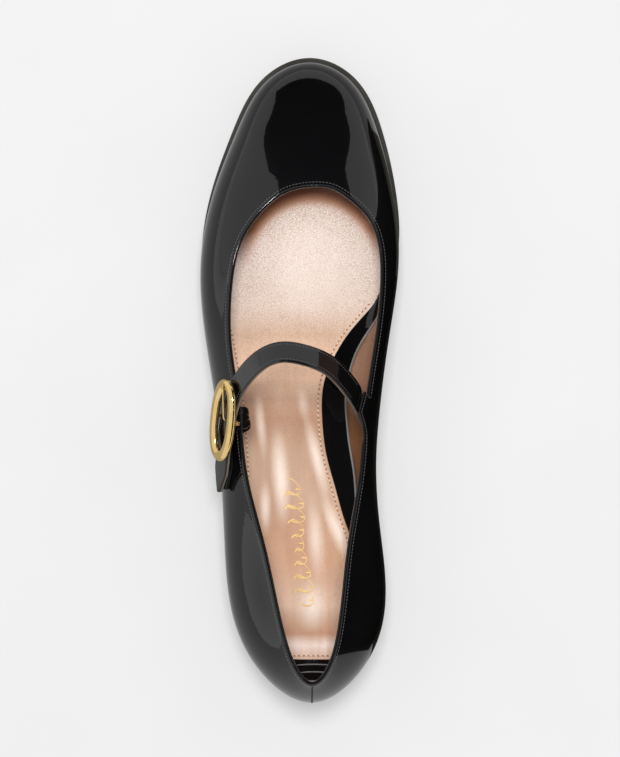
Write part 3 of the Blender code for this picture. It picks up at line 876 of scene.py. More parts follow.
class Palette:
    """A material's nodes, laid one after another."""

    def __init__(self, name: str) -> None:
        """Make an empty surface with its shader.

        Args:
            name: the finish's name.
        """
        self.material = bpy.data.materials.new(name)
        self.material.use_nodes = True
        self.tree = self.material.node_tree
        self.shader = self.tree.nodes["Principled BSDF"]

    def set(self, **values: float | tuple[float, ...]) -> None:
        """Set the shader's sockets; underscores stand for the spaces of their names."""
        for name, value in values.items():
            self.shader.inputs[name.replace("_", " ").title().replace("Ior", "IOR")].default_value = value

    def node(self, kind: str, **inputs: object) -> bpy.types.Node:
        """Add a node; inputs are numbers or the outputs that feed them.

        Args:
            kind: the node's type.
            inputs: numbers or outputs, by socket name.

        Returns:
            The node.
        """
        made = self.tree.nodes.new(kind)
        for name, value in inputs.items():
            socket = made.inputs[name.replace("_", " ")]
            if isinstance(value, Socket):
                self.tree.links.new(value, socket)
            else:
                socket.default_value = value
        return made

    def feed(self, output: Socket, *names: str) -> None:
        """Link an output to the shader's sockets."""
        for name in names:
            self.tree.links.new(output, self.shader.inputs[name])

    def place(self, squeeze: Triple = (1.0, 1.0, 1.0)) -> Socket:
        """Return the piece's own coordinates, in metres, squeezed so that patterns stretch."""
        own = self.node("ShaderNodeTexCoord").outputs["Object"]
        return self.node("ShaderNodeMapping", Vector=own, Scale=squeeze).outputs["Vector"]

    def noise(
        self, size: float, detail: float = 2.0, distortion: float = 0.0, squeeze: Triple = (1.0, 1.0, 1.0)
    ) -> Socket:
        """Return soft noise.

        Args:
            size: of its features, in millimetres.
            detail: how many finer layers it has.
            distortion: how much it is stirred.
            squeeze: how its pattern is squeezed along each axis.

        Returns:
            Its levels, about 0.5.
        """
        grade = {"Scale": 1.0 / (size * MM), "Detail": detail, "Distortion": distortion}
        return self.node("ShaderNodeTexNoise", Vector=self.place(squeeze), **grade).outputs[0]

    def cell_edges(self, size: float, squeeze: Triple) -> Socket:
        """Return the distance to the edges of pebbly cells.

        Args:
            size: about a cell's size, in millimetres.
            squeeze: how they are squeezed along each axis.

        Returns:
            The distance.
        """
        made = self.node("ShaderNodeTexVoronoi", Vector=self.place(squeeze), Scale=1.0 / (size * MM))
        made.feature = "DISTANCE_TO_EDGE"
        return made.outputs["Distance"]

    def along(self, low: float, high: float) -> Socket:
        """Return 0 to 1 from one distance along the shoe to another, in millimetres."""
        parts = self.node("ShaderNodeSeparateXYZ", Vector=self.place())
        return self.spread(parts.outputs["Y"], 0.0, 1.0, (low * MM, high * MM))

    def mix(self, share: Socket | float, first: object, second: object, kind: str = "MIX") -> Socket:
        """Mix two colours by a share.

        Args:
            share: of the second colour.
            first: an output or a colour.
            second: an output or a colour.
            kind: how they blend.

        Returns:
            The mixed colour.
        """
        made = self.tree.nodes.new("ShaderNodeMix")
        made.data_type = "RGBA"
        made.blend_type = kind
        colours = [socket for socket in made.inputs if socket.type == "RGBA"]
        for socket, value in ((made.inputs[0], share), (colours[0], first), (colours[1], second)):
            if isinstance(value, Socket):
                self.tree.links.new(value, socket)
            else:
                socket.default_value = value if isinstance(value, float) else (*value, 1.0)
        return next(socket for socket in made.outputs if socket.type == "RGBA")

    def ramp(self, output: Socket, stops: Sequence[tuple[float, Triple]]) -> Socket:
        """Return a colour for each level of an output.

        Args:
            output: the levels.
            stops: a level and its colour each.

        Returns:
            The colour.
        """
        made = self.node("ShaderNodeValToRGB", Fac=output)
        elements = made.color_ramp.elements
        while len(elements) < len(stops):
            elements.new(1.0)
        for element, (place, colour) in zip(elements, stops):
            element.position = place
            element.color = (*colour, 1.0)
        return made.outputs["Color"]

    def spread(
        self, output: Socket, low: float, high: float, ends: tuple[float, float] = (0.3, 0.7)
    ) -> Socket:
        """Carry an output that lies between two ends to other numbers.

        Args:
            output: what is carried.
            low: the number for the first end.
            high: the number for the second end.
            ends: the two ends.

        Returns:
            The carried numbers.
        """
        made = self.node("ShaderNodeMapRange", Value=output)
        for name, value in zip(("From Min", "From Max", "To Min", "To Max"), (*ends, low, high)):
            made.inputs[name].default_value = value
        return made.outputs["Result"]

    def spot(self, spot: Spot) -> Socket:
        """Return 1 in the middle of a soft oval, easing to 0 at its rim.

        Args:
            spot: where the oval lies.

        Returns:
            The level.
        """
        own = self.node("ShaderNodeTexCoord").outputs["Object"]
        half = (spot.width / 2 * MM, spot.length / 2 * MM, 1.0)
        middle = ((spot.x + SPOT_SHIFT[0]) * MM, (spot.y + SPOT_SHIFT[1]) * MM, 0.0)
        turn = (0.0, 0.0, radians(spot.turn))
        placed = self.node("ShaderNodeMapping", Vector=own, Location=middle, Rotation=turn, Scale=half)
        placed.vector_type = "TEXTURE"
        ball = self.node("ShaderNodeTexGradient", Vector=placed.outputs["Vector"])
        ball.gradient_type = "SPHERICAL"
        soft = self.node("ShaderNodeMapRange", Value=ball.outputs["Fac"])
        soft.interpolation_type = "SMOOTHSTEP"
        return soft.outputs["Result"]

    def relief(self, *layers: tuple[Socket, float]) -> Socket:
        """Return the normal of layers of height, each with its depth in millimetres.

        Args:
            layers: a height and its depth each.

        Returns:
            The normal.
        """
        normal = None
        for height, depth in layers:
            made = self.node("ShaderNodeBump", Height=height, Distance=depth * MM)
            if normal is not None:
                self.tree.links.new(normal, made.inputs["Normal"])
            normal = made.outputs["Normal"]
        return normal


@dataclass(frozen=True)
class Patent:
    """Patent leather: a dark hide under a thick clear gloss with faint waves."""

    name: str
    hide: Triple = (0.0016, 0.0016, 0.0018)
    gloss: float = 1.5
    wave: float = 0.05
    wave_size: float = 26.0
    ripple: float = 0.012
    peel: float = 0.0025

    def material(self) -> Material:
        """Build the finish.

        Returns:
            The material.
        """
        nodes = Palette(self.name)
        nodes.set(specular_ior_level=0.06, coat_weight=1.0, coat_ior=self.gloss, coat_roughness=0.01)
        soft = nodes.noise(self.wave_size, 1.5)
        ripple = nodes.noise(3.2, 2.0, 0.6)
        fine = nodes.noise(1.2, 1.0)
        haze = nodes.noise(45.0, 3.0)
        tone = nodes.ramp(haze, ((0.3, self.hide), (0.7, tuple(1.7 * part for part in self.hide))))
        nodes.feed(tone, "Base Color")
        nodes.feed(nodes.spread(haze, 0.14, 0.24), "Roughness")
        nodes.feed(nodes.spread(ripple, 0.006, 0.018), "Coat Roughness")
        normal = nodes.relief((soft, self.wave), (ripple, self.ripple), (fine, self.peel))
        nodes.feed(normal, "Normal", "Coat Normal")
        return nodes.material


@dataclass(frozen=True)
class Kid:
    """Soft leather with fine wrinkled grain and a pearl sheen; its colour changes along the shoe, partly its
    own and partly painted light and shade, with painted sheen streaks, painted highlight and shade spots, and
    painted shade under the throat.
    """

    name: str
    tones: tuple[tuple[float, Triple], ...]
    streak: float = 0.0
    pearl: float = 0.1
    roughness: float = 0.38
    grain: float = 0.05
    grain_size: float = 0.9
    grain_shade: float = 0.3
    grain_run: tuple[float, float] = (-200.0, -190.0)
    spots: tuple[Spot, ...] = ()
    throat: Spot | None = None

    def material(self) -> Material:
        """Build the finish.

        Returns:
            The material.
        """
        nodes = Palette(self.name)
        nodes.set(metallic=self.pearl, specular_ior_level=0.45, specular_tint=(1.0, 0.66, 0.50, 1.0))
        nodes.set(coat_weight=0.08, coat_roughness=0.3)
        low = self.tones[0][0]
        high = self.tones[-1][0]
        stops = tuple(((place - low) / (high - low), colour) for place, colour in self.tones)
        colour = nodes.ramp(nodes.along(low, high), stops)
        cloud = nodes.noise(14.0, 3.0)
        colour = nodes.mix(nodes.spread(cloud, 0.0, 0.3), colour, (0.88, 0.80, 0.76), "MULTIPLY")
        # Streaks along the shoe: painted sheen, the colour darkened in soft stripes between the pearly
        # leather's reflections and evened out towards the toe; the same noise also sets roughness and relief.
        streak = nodes.noise(4.5, 2.0, 0.5, (1.0, 0.12, 1.0))
        painted_streak_shade = (0.80, 0.68, 0.61)
        even_painted_streak_shade = nodes.mix(0.5 * self.streak, colour, painted_streak_shade, "MULTIPLY")
        colour = nodes.mix(nodes.spread(streak, self.streak, 0.0), colour, painted_streak_shade, "MULTIPLY")
        colour = nodes.mix(nodes.along(0.0, 30.0), colour, even_painted_streak_shade)
        # Painted highlights (spots with share above zero) and painted shades where the pearly leather bends.
        for spot in self.spots:
            shade = (0.80, 0.70, 0.62) if spot.share > 0.0 else (0.40, 0.25, 0.17)
            share = nodes.spread(nodes.spot(spot), 0.0, abs(spot.share), (0.0, 1.0))
            colour = nodes.mix(share, colour, shade)
        wrinkle = nodes.noise(self.grain_size, 2.0, 1.6, (0.75, 1.15, 1.0))
        edges = nodes.cell_edges(self.grain_size, (0.72, 1.2, 1.0))
        shaded = nodes.spread(edges, self.grain_shade, 0.0, (0.02, 0.22))
        grainy = nodes.mix(shaded, colour, (0.44, 0.27, 0.20), "MULTIPLY")
        grainy = nodes.mix(nodes.along(*self.grain_run), colour, grainy)
        depth = 1.0 if self.throat is None else nodes.spread(nodes.spot(self.throat), 1.0, 0.7, (0.52, 0.8))
        colour = nodes.mix(depth, colour, grainy)
        # Painted shade under the throat: outside the lit round the colour darkens to brown and then near
        # black, fading in from the round's middle towards the toe.
        if self.throat is not None:
            lit = nodes.spot(self.throat)
            shaded = colour
            for ends, brown in (((0.36, 0.49), (0.52, 0.25, 0.135)), ((0.30, 0.45), (0.10, 0.022, 0.008))):
                shaded = nodes.mix(nodes.spread(lit, self.throat.share, 0.0, ends), shaded, brown)
            colour = nodes.mix(nodes.along(self.throat.y, self.throat.y + 14.0), colour, shaded)
        nodes.feed(colour, "Base Color")
        nodes.feed(nodes.spread(streak, self.roughness + 0.1, self.roughness - 0.08), "Roughness")
        layers = ((streak, 0.5 * self.streak), (wrinkle, self.grain * 0.4), (edges, self.grain))
        nodes.feed(nodes.relief(*layers), "Normal")
        return nodes.material


@dataclass(frozen=True)
class Rubber:
    """Moulded or cut rubber and pressed fibre: fine tooth, scuffed tone."""

    name: str
    light: Triple
    dark: Triple
    roughness: float = 0.5
    tooth: float = 0.02
    sheen: float = 0.4

    def material(self) -> Material:
        """Build the finish.

        Returns:
            The material.
        """
        nodes = Palette(self.name)
        nodes.set(specular_ior_level=self.sheen)
        cloud = nodes.noise(9.0, 4.0)
        nodes.feed(nodes.ramp(cloud, ((0.35, self.dark), (0.7, self.light))), "Base Color")
        nodes.feed(nodes.spread(cloud, self.roughness + 0.08, self.roughness - 0.08), "Roughness")
        nodes.feed(nodes.relief((nodes.noise(0.5, 2.0), self.tooth)), "Normal")
        return nodes.material


@dataclass(frozen=True)
class Thread:
    """Twisted sewing thread."""

    name: str
    colour: Triple
    roughness: float = 0.6

    def material(self) -> Material:
        """Build the finish.

        Returns:
            The material.
        """
        nodes = Palette(self.name)
        nodes.set(specular_ior_level=0.4, roughness=self.roughness)
        twist = nodes.noise(0.28, 1.0)
        shade = tuple(0.62 * part for part in self.colour)
        nodes.feed(nodes.ramp(twist, ((0.35, shade), (0.6, self.colour))), "Base Color")
        nodes.feed(nodes.relief((twist, 0.03)), "Normal")
        return nodes.material


@dataclass(frozen=True)
class Gold:
    """Polished gold-toned metal with faint swirls from the buffing wheel."""

    name: str
    light: Triple = (0.92, 0.68, 0.30)
    deep: Triple = (0.86, 0.60, 0.24)
    roughness: float = 0.11
    metallic: float = 1.0

    def material(self) -> Material:
        """Build the finish.

        Returns:
            The material.
        """
        nodes = Palette(self.name)
        nodes.set(metallic=self.metallic)
        cloud = nodes.noise(3.0, 3.0)
        nodes.feed(nodes.ramp(cloud, ((0.35, self.deep), (0.65, self.light))), "Base Color")
        nodes.feed(nodes.spread(cloud, self.roughness, self.roughness * 1.6), "Roughness")
        nodes.feed(nodes.relief((nodes.noise(1.4, 1.0), 0.006)), "Normal")
        return nodes.material


def finish_piece(
    piece: Object, look: Material, slot: Slot | None = None, stands_for: Sequence[str] = ()
) -> None:
    """Dress a piece and seat it in the frame.

    Args:
        piece: the finished shape.
        look: its material.
        slot: the slot that the finish belongs to, if the frame has one; not used.
        stands_for: the frame's nodes that the piece replaces.
    """
    piece.data.materials.clear()
    piece.data.materials.append(look)
    if stands_for:
        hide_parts(*stands_for)
    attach(piece, "root")
    LOG.info("%s: %d faces, %s", piece.name, len(piece.data.polygons), look.name)


# ---- strap and tab


class BandFrames(NamedTuple):
    """Stations along a band: running length, points, outward and sideways directions."""

    places: Array
    points: Array
    out: Array
    side: Array


@dataclass
class Band:
    """A flat band of leather swept along its middle line and cut to a blunt point at its end."""

    rows: list[BandRow]
    width: float
    tip_width: float = 1.5
    tip_length: float = 8.5
    tip_curve: float = 0.85

    def frames(self, step: float) -> BandFrames:
        """Return stations at about a step along the middle line.

        Args:
            step: about the distance between stations.

        Returns:
            The stations, from the sewn end to the tip.
        """
        table = np.array(self.rows)
        knots = chord_knots(table[:, :3])
        places = np.linspace(0.0, knots[-1], round(knots[-1] / step) + 1)
        sampled = spline_points(knots, table, places)
        points = sampled[:, :3]
        tangents = unit(np.gradient(points, places, axis=0))
        out = sampled[:, 3:]
        out = unit(out - tangents * (out * tangents).sum(axis=1, keepdims=True))
        return BandFrames(places, points, out, np.cross(out, tangents))

    def half(self, left: float, width: float) -> float:
        """Return half a layer's width where a length is left before the tip."""
        tip = self.tip_width * width / self.width
        return (tip + (width - tip) * min(max(left, 0.0) / self.tip_length, 1.0) ** self.tip_curve) / 2

    def layer(self, name: str, last: Last, step: float, profile: "LayerProfile") -> Object:
        """Sweep one layer of the band.

        Args:
            name: the piece's name.
            last: gives the placing.
            step: distance between stations.
            profile: the layer's own width, heights and rounding.

        Returns:
            The layer as a closed piece.
        """
        frames = self.frames(step)
        left = frames.places[-1] - frames.places
        crest = left[int(np.argmax(frames.points[:, 0]))]
        rings = []
        for place, point, out, side in zip(left, frames.points, frames.out, frames.side):
            half = self.half(place - profile.short, self.width - 2 * profile.narrower)
            half *= 1.0 - profile.pinch * float(np.exp(-(((place - crest) / 2.0) ** 2)))
            ring = [point + side * across + out * lift for across, lift in profile.ring(half)]
            rings.append(np.array(ring))
        return last.loft(name, rings, capped=True)

    def edge_line(
        self, inset: float, lift: float, start: float, stop: float, sign: float
    ) -> tuple[Array, Array]:
        """Follow the band inside one of its edges.

        Args:
            inset: distance from the edge.
            lift: height over the middle line.
            start: length left free at the sewn end.
            stop: length left free at the tip.
            sign: which edge, -1 or 1.

        Returns:
            The line's points and their outward directions.
        """
        frames = self.frames(0.8)
        left = frames.places[-1] - frames.places
        keep = (frames.places > start) & (left > stop)
        half = np.array([self.half(place, self.width) for place in left])
        line = frames.points + frames.side * (sign * (half - inset))[:, None] + frames.out * lift
        return line[keep], frames.out[keep]


@dataclass(frozen=True)
class LayerProfile:
    """The cross-section of one layer of a band."""

    low: float
    high: float
    narrower: float = 0.0
    rounding: float = 0.3
    channel: float = 0.0
    channel_in: float = 1.3
    short: float = 0.0
    pinch: float = 0.0

    def ring(self, half: float) -> list[tuple[float, float]]:
        """Return points (across, lift) round the section: flat below, rounded edges, sewn channels.

        Args:
            half: half the width there.

        Returns:
            Points, each as across and lift.
        """
        rounding = min(self.rounding, half / 3, (self.high - self.low) / 2)
        foot, head = self.low + rounding, self.high - rounding
        points = []
        for corner, (side, level) in enumerate(((-1, foot), (1, foot), (1, head), (-1, head))):
            for turn in np.linspace(0.0, pi / 2, 4) + (corner + 2) * pi / 2:
                points.append((side * (half - rounding) + rounding * cos(turn), level + rounding * sin(turn)))
            if corner == 2:
                points.extend(self.sewn(half))
        return points

    def sewn(self, half: float) -> list[tuple[float, float]]:
        """Return the points across the upper face, with a shallow trough for each row of stitches.

        Args:
            half: half the width there.

        Returns:
            Points from one edge to the other.
        """
        depth = self.channel * min(1.0, max(0.0, half - 2.2))
        spots = []
        for sign in (1, -1):
            middle = half - self.channel_in
            row = [(middle + 0.45, 0.0), (middle, -depth), (middle - 0.45, 0.0), (middle * 0.45, 0.0)]
            row = [(max(across, 0.05) * sign, self.high + lift) for across, lift in row]
            spots.extend(row if sign == 1 else reversed(row))
        return spots


class StrapTable:
    """The middle lines of the strap and of the buckle's tab."""

    strap_width = 8.6
    strap_thickness = 1.8
    tab_width = 8.8
    tab_thickness = 1.5
    fold_radius = 3.1
    fold_set_in = 0.6
    fold_y = -17.0
    fold_rake = 0.2
    buckle_y = -15.0
    buckle_turn = 11.0
    root_y = -8.7
    root_lift = 1.15
    root_over = 0.25

    arch: tuple[BandRow, ...] = (
        BandRow(17.6, -7.0, 49.0, 0.80, 0.05, 0.60),
        BandRow(12.7, 0.0, 56.3, 0.62, 0.22, 0.75),
        BandRow(7.4, 5.0, 61.0, 0.38, 0.36, 0.85),
        BandRow(-2.0, 8.9, 65.0, 0.08, 0.45, 0.89),
        BandRow(-10.8, 9.9, 64.7, -0.18, 0.42, 0.89),
        BandRow(-17.6, 7.4, 61.2, -0.42, 0.32, 0.85),
        BandRow(-22.8, 3.0, 56.2, -0.64, 0.18, 0.75),
        BandRow(-27.3, -3.2, 51.0, -0.78, 0.07, 0.62),
        BandRow(-29.7, -9.8, 47.3, -0.82, 0.01, 0.57),
        BandRow(-31.6, -16.8, 43.9, -0.82, 0.00, 0.57),
        BandRow(-32.9, -24.0, 40.3, -0.83, 0.00, 0.55),
    )

    def __init__(self, finder: WallFinder) -> None:
        """Work out both lines against the upper's face.

        Args:
            finder: finds points on the upper's face.
        """
        wall = Last.wall
        gap = Last.gap
        sewn = -wall - gap - self.strap_thickness / 2 - 0.2
        stack = gap + self.tab_thickness + gap + self.strap_thickness / 2
        inner_end = ((-19.0, 31.0, 0.0), (-15.0, 37.0, 0.0), (-11.5, 42.4, -0.2))
        outer_end = ((-31.0, 35.2, 0.7), (-37.5, 32.5, 0.15), (-43.2, 30.6, 0.1))
        rows = [finder.row(WallRow("inner", y, z, sewn + clear)) for y, z, clear in inner_end]
        rows += self.arch
        rows += [finder.row(WallRow("outer", y, z, stack + clear)) for y, z, clear in outer_end]
        self.strap = Band(rows, self.strap_width)
        self.tab = Band(self.tab_rows(finder), self.tab_width)

    def tab_rows(self, finder: WallFinder) -> list[BandRow]:
        """Return the tab's rows: up inside the quarter, over the topline and down outside.

        Args:
            finder: finds points on the upper's face.

        Returns:
            The rows from the sewn end to the tip.
        """
        inside = -Last.wall - Last.gap - self.tab_thickness / 2 - 0.3
        outside = Last.gap + self.tab_thickness / 2
        inner = []
        for y, z in ((-18.2, 28.5), (-17.7, 33.5)):
            found = finder.row(WallRow("outer", y, z, inside))
            inner.append(found._replace(out_x=-found.out_x, out_y=-found.out_y, out_z=-found.out_z))
        down = ((-18.9, 36.0, 0.4), (-23.0, 33.9, 0.2), (-29.0, 33.3, 0), (-36.0, 32.8, 0), (-42.4, 31.8, 0))
        outer = [finder.row(WallRow("outer", y, z, outside + clear)) for y, z, clear in down]
        top = finder.controls[3]
        station = nearest(top, self.fold_y, -1.0)
        out = self.wall_out(finder, station)
        rise = unit(np.array((-out[2], 0.0, -out[0])) * np.sign(-out[0]))
        rim = top[station] - out * (Last.wall / 2 + self.fold_set_in)
        fold = []
        for turn, shift in ((-pi / 2, self.fold_rake), (0.0, 0.0), (pi / 2, -self.fold_rake)):
            direction = rise * cos(turn) + out * sin(turn)
            spot = rim + direction * self.fold_radius + (0.0, shift, 0.0)
            fold.append(BandRow(*spot, *direction))
        return inner + fold + outer

    @staticmethod
    def wall_out(finder: WallFinder, station: int) -> Array:
        """Return the wall's outward normal at the topline of a station.

        Args:
            finder: holds the wall's curves.
            station: which station.

        Returns:
            The direction, of length one.
        """
        nudge = 1e-4
        up = bezier(finder.controls, 1.0 + nudge) - bezier(finder.controls, 1.0 - nudge)
        here = bezier(finder.controls, 1.0)
        along = np.roll(here, -1, axis=0) - np.roll(here, 1, axis=0)
        return unit(np.cross(along, up))[station]

    def buckle_frame(self) -> Matrix:
        """Return the buckle's own axes: X down the buckle, Y across it, Z out of the shoe.

        Returns:
            The axes, with the middle of the strap as their origin.
        """
        frames = self.strap.frames(2.2)
        index = nearest(frames.points, self.buckle_y, -1.0)
        out = Vector(frames.out[index])
        side = Vector(frames.side[index])
        axes = Matrix((side.cross(out), side, out)).transposed().to_4x4()
        axes.translation = Vector(frames.points[index])
        return axes @ Matrix.Rotation(radians(self.buckle_turn), 4, "Z")

    def root_corners(self) -> tuple[Array, Array]:
        """Return the front and rear corners of the quarter's tongue that is sewn on the strap.

        Returns:
            The two corners.
        """
        frames = self.strap.frames(0.4)
        index = nearest(frames.points, self.root_y, 1.0)
        lift = self.strap_thickness / 2 + self.root_lift
        middle = frames.points[index] + frames.out[index] * lift
        reach = frames.side[index] * (self.strap_width / 2 + self.root_over)
        ends = sorted((middle - reach, middle + reach), key=lambda point: -point[1])
        return ends[0], ends[1]


@dataclass
class Strap:
    """The instep strap: patent top layer, lining layer with its cut edge, and stitches."""

    last: Last
    table: StrapTable
    patent: Material
    edge: Material
    thread: Material
    seam_in: float = 1.25
    free_root: float = 26.0
    free_tip: float = 5.0
    pitch: float = 1.25

    def build(self) -> list[Object]:
        """Make the strap's pieces.

        Returns:
            The pieces.
        """
        band = self.table.strap
        above = LayerProfile(0.0, 0.9, rounding=0.42, channel=0.03, channel_in=self.seam_in)
        below = LayerProfile(-0.9, -0.04, 0.22, 0.2, short=0.2)
        top = band.layer("strap", self.last, 0.7, above)
        lining = band.layer("strap_lining", self.last, 1.2, below)
        rows = []
        for sign, side in ((-1.0, "rear"), (1.0, "front")):
            line, out = band.edge_line(self.seam_in, 0.86, self.free_root, self.free_tip, sign)
            frames = Frames.on_line(self.last, line, out, self.pitch)
            rows.append(stitch_row(f"strap_stitches_{side}", frames, 0.95, 0.26))
            finish_piece(rows[-1], self.thread)
        finish_piece(top, self.patent, Slot.STRAP, ["strap"])
        finish_piece(lining, self.edge, Slot.STRAP)
        return [top, lining, *rows]


@dataclass
class Tab:
    """The tab that folds over the topline and carries the buckle."""

    last: Last
    table: StrapTable
    patent: Material
    edge: Material

    def build(self) -> list[Object]:
        """Make the tab's two layers.

        Returns:
            The pieces.
        """
        band = self.table.tab
        above = LayerProfile(-0.25, 0.75, rounding=0.5, channel=0.28, channel_in=2.7, pinch=0.25)
        below = LayerProfile(-0.75, -0.29, 0.12, 0.15, short=0.1, pinch=0.25)
        top = band.layer("buckle_tab", self.last, 0.5, above)
        lining = band.layer("buckle_tab_lining", self.last, 0.8, below)
        finish_piece(top, self.patent, Slot.TAB, ["buckle_tab"])
        finish_piece(lining, self.edge, Slot.TAB)
        return [top, lining]


# ---- buckle


@dataclass
class Buckle:
    """An oval frame with a cross bar and a prong."""

    last: Last
    table: StrapTable
    gold: Material
    length: float = 32.4
    width: float = 16.4
    band: float = 4.3
    thickness: float = 2.5
    lift: float = 2.3
    bar: float = 1.3
    bar_splay: float = 0.1
    prong: float = 1.0
    squareness: float = 0.87

    def build(self) -> list[Object]:
        """Make the frame, its cross bar and the prong.

        Returns:
            The pieces.
        """
        axes = self.table.buckle_frame()
        pieces = [self.ring(axes), self.cross_bar(axes), self.tongue(axes)]
        finish_piece(pieces[0], self.gold, Slot.METAL, ["buckle"])
        for piece in pieces[1:]:
            finish_piece(piece, self.gold, Slot.METAL)
        return pieces

    def ring(self, axes: Matrix) -> Object:
        """Shape a torus into the oval frame with its rounded, slightly crowned band.

        Args:
            axes: the buckle's axes.

        Returns:
            The frame as a closed piece.
        """
        thin = 0.25
        sizes = {"major_segments": 144, "minor_segments": 24, "major_radius": 1.0, "minor_radius": thin}
        made = Bench.primitive("buckle_frame", bpy.ops.mesh.primitive_torus_add, **sizes)
        half_length = (self.length - self.band) / 2
        half_width = (self.width - self.band) / 2
        for vertex in made.data.vertices:
            x, y, z = vertex.co
            reach = (x * x + y * y) ** 0.5
            turn = np.arctan2(y, x)
            lift = z / thin
            away = (reach - 1.0) / thin
            long = self.rounded(cos(turn), self.squareness) * half_length
            wide = self.rounded(sin(turn), self.squareness) * half_width
            centre = Vector((long, wide, self.lift))
            outward = Vector((centre.x / half_length**2, centre.y / half_width**2, 0.0)).normalized()
            place = centre + outward * (self.rounded(away, 0.8) * self.band / 2)
            place.z += self.rounded(lift, 0.8) * self.thickness / 2
            vertex.co = self.to_metres(axes @ place)
        return Bench.smoothed(made, 60.0)

    @staticmethod
    def rounded(value: float, power: float) -> float:
        """Return a signed power, which squares off or rounds a circle."""
        return abs(value) ** power * (1.0 if value >= 0.0 else -1.0)

    def to_metres(self, point: Vector) -> Vector:
        """Place one point."""
        return Vector(self.last.placed(np.array(point)))

    def rod(self, name: str, axes: Matrix, path: Array, radii: Array) -> Object:
        """Sweep a round rod along a smooth path that lies in one plane.

        Args:
            name: the piece's name.
            axes: the buckle's axes.
            path: points in the buckle's millimetres.
            radii: the rod's radius at each point.

        Returns:
            The rod as a closed piece.
        """
        tangents = unit(np.gradient(path, axis=0))
        normals = np.tile(unit(np.cross(path[1] - path[0], path[-1] - path[0])), (len(path), 1))
        ovals = oval_rings(path, normals, unit(np.cross(tangents, normals)), radii, radii, 16)
        rings = [np.array([self.to_metres(axes @ Vector(spot)) for spot in ring]) for ring in ovals]
        return Bench.loft(name, rings, capped=True)

    def cross_bar(self, axes: Matrix) -> Object:
        """Make the bar that dips under the strap between the long sides of the frame.

        Args:
            axes: the buckle's axes.

        Returns:
            The bar.
        """
        reach = (self.width - self.band) / 2
        foot = StrapTable.strap_width / 2 + Last.gap + self.bar / 2
        low = -StrapTable.strap_thickness / 2 - Last.gap - self.bar / 2
        half = [(0.0, reach, self.lift), (0.0, foot + self.bar_splay, 0.2), (0.0, foot, low)]
        table = np.array([(x, -y, z) for x, y, z in half] + half[::-1])
        path = eased(resampled(table, np.linspace(0.0, chord_knots(table)[-1], 61)), 3)
        return self.rod("buckle_bar", axes, path, np.full(len(path), self.bar / 2))

    def tongue(self, axes: Matrix) -> Object:
        """Make the prong: up through the strap, forward over it and down on the frame.

        Args:
            axes: the buckle's axes.

        Returns:
            The prong.
        """
        low = -StrapTable.strap_thickness / 2 - Last.gap - self.bar / 2
        over = StrapTable.strap_thickness / 2 + Last.gap + self.prong / 2 + 0.1
        end = -(self.length - self.band) / 2 - 0.6
        rest = self.lift + self.thickness / 2 + self.prong / 2 - 0.1
        table = np.array([(0.0, 0.0, low), (0.0, 0.0, over - 0.6), (-0.8, 0.0, over + 0.1), (end, 0.0, rest)])
        path = eased(resampled(table, np.linspace(0.0, chord_knots(table)[-1], 48)), 3)
        radii = self.prong / 2 * np.linspace(1.0, 0.8, len(path))
        radii[-4:] *= (0.97, 0.88, 0.66, 0.25)
        return self.rod("buckle_prong", axes, path, radii)


# ---- upper and lining


CREASES: tuple[Crease, ...] = (
    Crease("throat_outer", -17.0, 88.0, 16.0, 7.0, -0.25, 25.0),
    Crease("throat_outer_ridge", -12.0, 96.0, 13.0, 6.0, 0.18, 10.0),
    Crease("vamp_middle", 3.0, 92.0, 22.0, 13.0, 0.12, 5.0),
    Crease("vamp_inner_ridge", 15.0, 92.0, 17.0, 7.0, -0.16, -12.0),
    Crease("toe_cap_outer", -11.0, 107.0, 12.0, 7.0, -0.14, 60.0),
    Crease("toe_cap_inner", 10.0, 106.0, 12.0, 7.0, -0.12, -55.0),
    Crease("ball_outer_hollow", -36.0, 30.0, 22.0, 8.0, -0.25, 8.0),
    Crease("waist_outer_ridge", -34.0, -28.0, 22.0, 7.0, 0.2, 0.0),
    Crease("quarter_outer_hollow", -28.0, -62.0, 24.0, 7.0, -0.14, -8.0),
    Crease("quarter_outer_ridge", -24.0, -84.0, 24.0, 7.0, 0.10, -12.0),
    Crease("quarter_inner_hollow", 24.0, -58.0, 22.0, 6.0, -0.2, 6.0),
)


